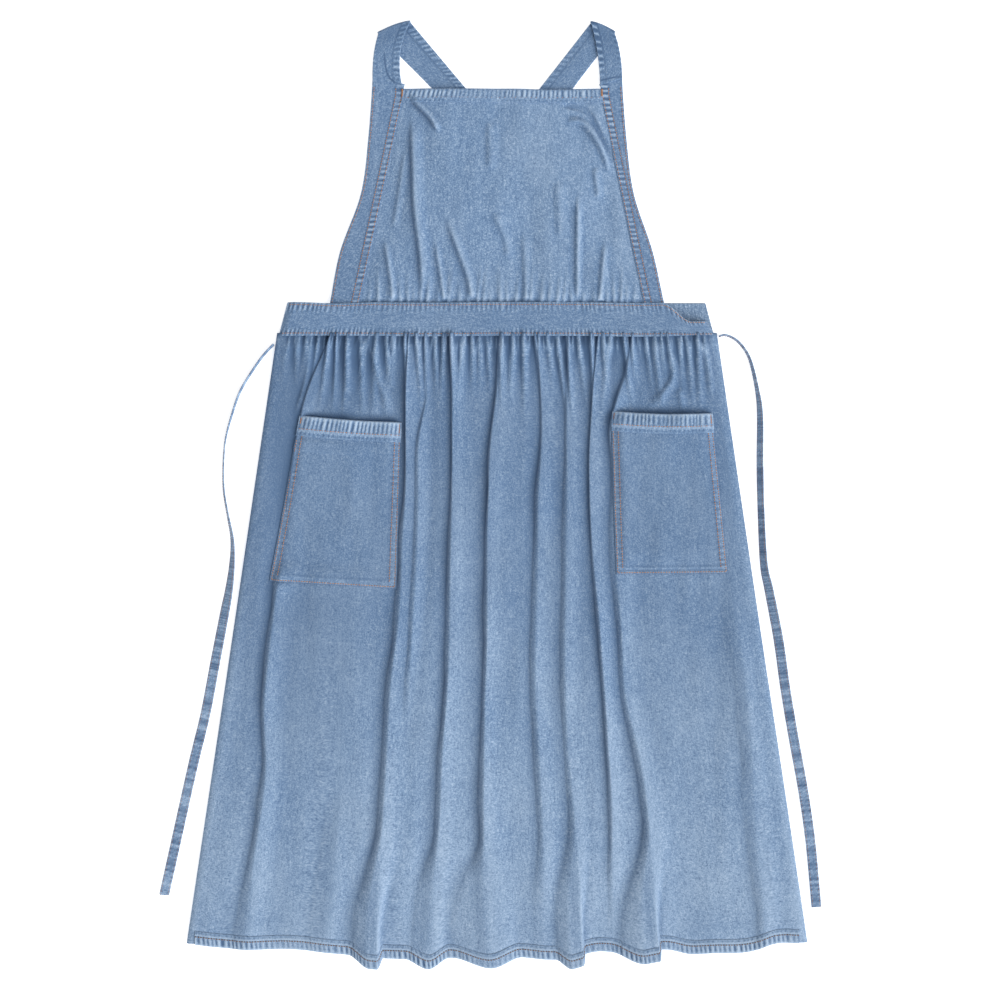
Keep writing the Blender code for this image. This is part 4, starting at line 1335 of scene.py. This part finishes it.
class ApronStraps(bpy.types.Operator):
    """Make the two shoulder straps that fold over at the top and cross behind"""
    bl_idname = "apron.straps"
    bl_label = "Shoulder straps"

    def execute(self, context):
        lines = []
        for seed, (name, strap) in enumerate(STRAPS.items()):
            lines += self.strap(name, strap, seed)
        piece = stitches("strap_stitches", lines, None, width=1.0 * MM)
        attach(piece, BIB)
        return {"FINISHED"}

    def strap(self, name, strap, seed):
        """One strap; gives the lines of its stitches as far as the shoulder fold."""
        first, second = strap_edges(strap)
        if seed == 0:
            first, second = second, first
        part = np.linspace(0, 1, STRAP_COLUMNS)[None, :, None]
        places = first[:, None, :] * (1 - part) + second[:, None, :] * part
        part = part[..., 0]
        run = run_along(first)[:, None]
        outer = part if seed == 0 else 1 - part
        from_outer = (1 - outer) * STRAP_WIDTH
        from_inner = outer * STRAP_WIDTH
        rope = puckers(run + 0 * part, 141 + seed, 6.8 * MM)
        belt = ease(from_inner / (1.2 * MM)) * ease((9.5 * MM - from_inner) / (2 * MM))
        slim = bell(from_outer - 3 * MM, 2.2 * MM)
        way = np.gradient(places, axis=0)
        across = np.gradient(places, axis=1)
        up = unit(np.cross(across, way))
        soft = mottle(run + 0 * part, part + 0 * run, 30 * MM, 0.5, 143 + seed) * 0.35
        relief = rope * (belt * 0.4 + slim * 0.22) + soft
        places = places + up * ((1.1 + relief) * MM)[..., None]
        fold_run = run[FOLD_ROW]
        middle = (first + second) / 2
        outward = unit((middle[FOLD_ROW] - middle[FOLD_ROW - 11]) * (1, 1, 0))
        crown = 2.4 * MM * np.sin(np.pi * part) * bell(run - fold_run, 9 * MM)
        places = places + outward * crown[..., None]
        places[..., 2] = np.maximum(places[..., 2], STRAP_FLOOR_Z)
        # Painted shade on the strap next to the shoulder fold, before it and darkest just past it.
        shade = bell(run - fold_run + 12 * MM, 20 * MM) * (run < fold_run)
        shade = shade + (run > fold_run) * (0.2 + 1.5 * bell(run - fold_run, 16 * MM))
        uneven = 1.0 + 0.35 * drift(run, 19 * MM, 147 + seed)
        wear_and_shading = rope * uneven * (belt * 0.95 + slim * 0.45) - 0.2 - 0.36 * shade
        wear_and_shading = wear_and_shading + 0.38 * bell(from_inner, 1.3 * MM)
        wear_and_shading = wear_and_shading + 0.32 * bell(from_outer, 1.3 * MM)
        wear_and_shading = wear_and_shading - 0.5 * bell(from_inner - 10.0 * MM, 1.1 * MM)
        joint = crease(places[..., 0], places[..., 1], strap["seam"], 0.9, 1.8, 1.8) / MM
        wear_and_shading = wear_and_shading - joint * (run < fold_run)
        cloth_piece(name, places, wear_and_shading, "denim", BIB, (name,), thickness=BAND_THICK, bends=True)
        lines = []
        for inset in (2.0 * MM, 9.2 * MM, 33.5 * MM):
            share = inset / STRAP_WIDTH
            column = (share if seed == 0 else 1 - share) * (STRAP_COLUMNS - 1)
            low, high = places[:, int(column)], places[:, int(column) + 1]
            line = low * (1 - column % 1) + high * (column % 1)
            lines.append(sewn(line[:FRONT_ROWS]))
        return lines


# ---- waist ties ------------------------------------------------------------------------

TIE_WIDTH, TIE_THICK, TIE_STEP = 12.5 * MM, 1.9 * MM, 2.6 * MM
TIE_ROOM, TIE_CLEAR = 1.8 * MM, 0.4 * MM    # a flat tie's room, and the gap below it
TIE_ROUTES = {
    # the middle line as (x, y, turn) in millimetres and degrees: 90 stands it on edge
    "waist_tie_left": (
        (-279.5, 187, 90), (-290, 176, 90), (-302, 160, 90), (-321, 129, 90), (-332, 98, 88),
        (-340, 67, 84), (-342.5, 36, 80), (-342, 4, 78), (-337, -27, 75), (-331.5, -58, 66),
        (-332, -89, 52), (-336, -121, 34), (-342, -152, 18), (-354, -214, 8), (-366, -277, 4),
        (-381, -339, 2), (-402, -433, 1), (-416, -496, 0), (-417.5, -504, 0)),
    "waist_tie_right": (
        (278.4, 197, 90), (286.5, 198.5, 90), (300, 192, 90), (312, 178, 88), (319, 161, 84),
        (326, 129, 76), (329.5, 98, 62), (329.5, 36, 56), (331, -27, 56), (334.5, -89, 48),
        (341, -121, 34), (353, -183, 20), (362, -246, 12), (372.5, -308, 8), (384, -371, 4),
        (393, -433, 2), (399, -496, 0), (401, -519, 0)),
}


class ApronTies(bpy.types.Operator):
    """Make the two waist ties"""
    bl_idname = "apron.ties"
    bl_label = "Waist ties"

    def execute(self, context):
        for name, body in (("waist_tie_left", TIE_LEFT), ("waist_tie_right", TIE_RIGHT)):
            self.tie(name, body)
        return {"FINISHED"}

    def tie(self, name, body):
        route = np.array(TIE_ROUTES[name], float)
        lean = np.radians(route[:, 2])
        reach = (TIE_WIDTH * np.abs(np.sin(lean)) + TIE_ROOM * np.abs(np.cos(lean))) / 2
        points = np.column_stack([route[:, 0] * MM, route[:, 1] * MM, reach + TIE_CLEAR, lean])
        line = even(curve_through(points, 900), TIE_STEP)
        spots, lean = line[:, :3], line[:, 3]
        way = unit(np.gradient(spots, axis=0))
        flat = unit(np.cross(UP, way))
        raised = np.cross(way, flat)
        wide = flat * np.cos(lean)[:, None] + raised * np.sin(lean)[:, None]
        thick = np.cross(way, wide)
        around = np.linspace(0, 2 * np.pi, 29)
        side = np.sign(np.cos(around)) * np.abs(np.cos(around)) ** 0.35 * TIE_WIDTH / 2
        over = np.sign(np.sin(around)) * np.abs(np.sin(around)) ** 0.6 * TIE_THICK / 2
        run = np.arange(len(spots)) * TIE_STEP
        rope = puckers(run, 151, 7 * MM)[:, None]
        seam = bell(np.abs(side) - TIE_WIDTH / 2 + 1.6 * MM, 1.2 * MM)[None, :]
        places = (spots[:, None, :] + wide[:, None, :] * side[None, :, None]
                  + thick[:, None, :] * (over[None, :] * (1 + 0.22 * rope * seam))[..., None])
        edge = bell(TIE_WIDTH / 2 - np.abs(side), 0.9 * MM)[None, :]
        blots = drift(run, 4.5 * MM, 152)[:, None]
        wear_and_shading = 0.35 * edge + 0.9 * rope * seam + 0.6 * blots - 0.22
        piece = cloth_mesh(name, places, wear_and_shading, "denim", 0.0, around=True)
        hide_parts(name)
        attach(piece, body)
        lines = []
        for edge_side in (-1, 1):
            line = spots + wide * edge_side * (TIE_WIDTH / 2 - 1.7 * MM)
            lines.append((line + thick * TIE_THICK * 0.5, tuple(thick.mean(axis=0))))
        stitches(name + "_stitches", lines, body, width=0.6 * MM)


# ---- bar tacks -------------------------------------------------------------------------

BAR_STEP = 0.42 * MM            # from one thread of a bar to the next
BAR_HALF, BAR_SLANT = 1.15 * MM, 0.2 * MM


class ApronBarTacks(bpy.types.Operator):
    """Make the close thread bars at the ends of the pocket mouths and of the bib's hem"""
    bl_idname = "apron.bar_tacks"
    bl_label = "Bar tacks"

    def execute(self, context):
        ends = {"pocket_left": ("outer", "inner"), "pocket_right": ("inner", "outer")}
        for name, places in ends.items():
            for place, end, size in zip(places, (0.022, 0.978), (8 * MM, 12 * MM)):
                down = np.array([0.002, 0.002 + size / (205 * MM)])
                line = pocket_face(name, np.full(2, end), down)
                self.bar(f"bar_tack_{name}_{place}", line + (0, 0, 1.5 * MM), SKIRT)
        for side, place in ((-1, "left"), (1, "right")):
            line = band_face(side, np.full(2, 0.03), np.array([0.93, 0.965]))
            self.bar(f"bar_tack_bib_{place}", line + (0, 0, 1.0 * MM), BIB)
        return {"FINISHED"}

    def bar(self, name, line, body):
        """A satin bar: short threads side by side along the bar's length, slanting a little each way in
        turn.
        """
        way = (line[1] - line[0]) / np.linalg.norm(line[1] - line[0])
        half_bar = np.cross(way, UP)
        half_bar *= BAR_HALF / np.linalg.norm(half_bar)
        length = np.linalg.norm(line[1] - line[0])
        lines = []
        for k in range(int(length / BAR_STEP)):
            spot = line[0] + way * BAR_STEP * k
            slant = half_bar + way * BAR_SLANT * (-1) ** k
            lines.append((np.array([spot - slant, spot + slant]), UP))
        piece = stitches(name, lines, body, width=0.62 * MM)
        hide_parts(name)


class ApronPanel(bpy.types.Panel):
    """Lists the apron's settings and the steps that make it"""
    bl_idname = "VIEW3D_PT_apron"
    bl_label = "Apron"
    bl_space_type = "VIEW_3D"
    bl_region_type = "UI"
    bl_category = "Apron"

    def draw(self, context):
        scene = context.scene
        for group in (scene.apron_cloth, scene.apron_folds, scene.apron_looks, scene.apron_stage):
            box = self.layout.box()
            for key in group.bl_rna.properties.keys():
                if key not in ("rna_type", "name"):
                    box.prop(group, key)
        for step in STEPS:
            self.layout.operator(step.bl_idname)


STEPS = (ApronStageMake, ApronTies, ApronSkirt, ApronPockets, ApronWaistband, ApronBib, ApronStraps,
         ApronBarTacks)
GROUPS = {"apron_cloth": ApronCloth, "apron_folds": ApronFolds, "apron_looks": ApronLooks,
          "apron_stage": ApronStage}


def register():
    for key, group in GROUPS.items():
        bpy.utils.register_class(group)
        setattr(bpy.types.Scene, key, PointerProperty(type=group))
    for step in (*STEPS, ApronPanel):
        bpy.utils.register_class(step)


def unregister():
    for step in (ApronPanel, *reversed(STEPS)):
        bpy.utils.unregister_class(step)
    for key, group in GROUPS.items():
        delattr(bpy.types.Scene, key)
        bpy.utils.unregister_class(group)


def main():
    register()
    for step in STEPS:
        group, action = step.bl_idname.split(".")
        getattr(getattr(bpy.ops, group), action)()


if __name__ == "__main__":
    main()
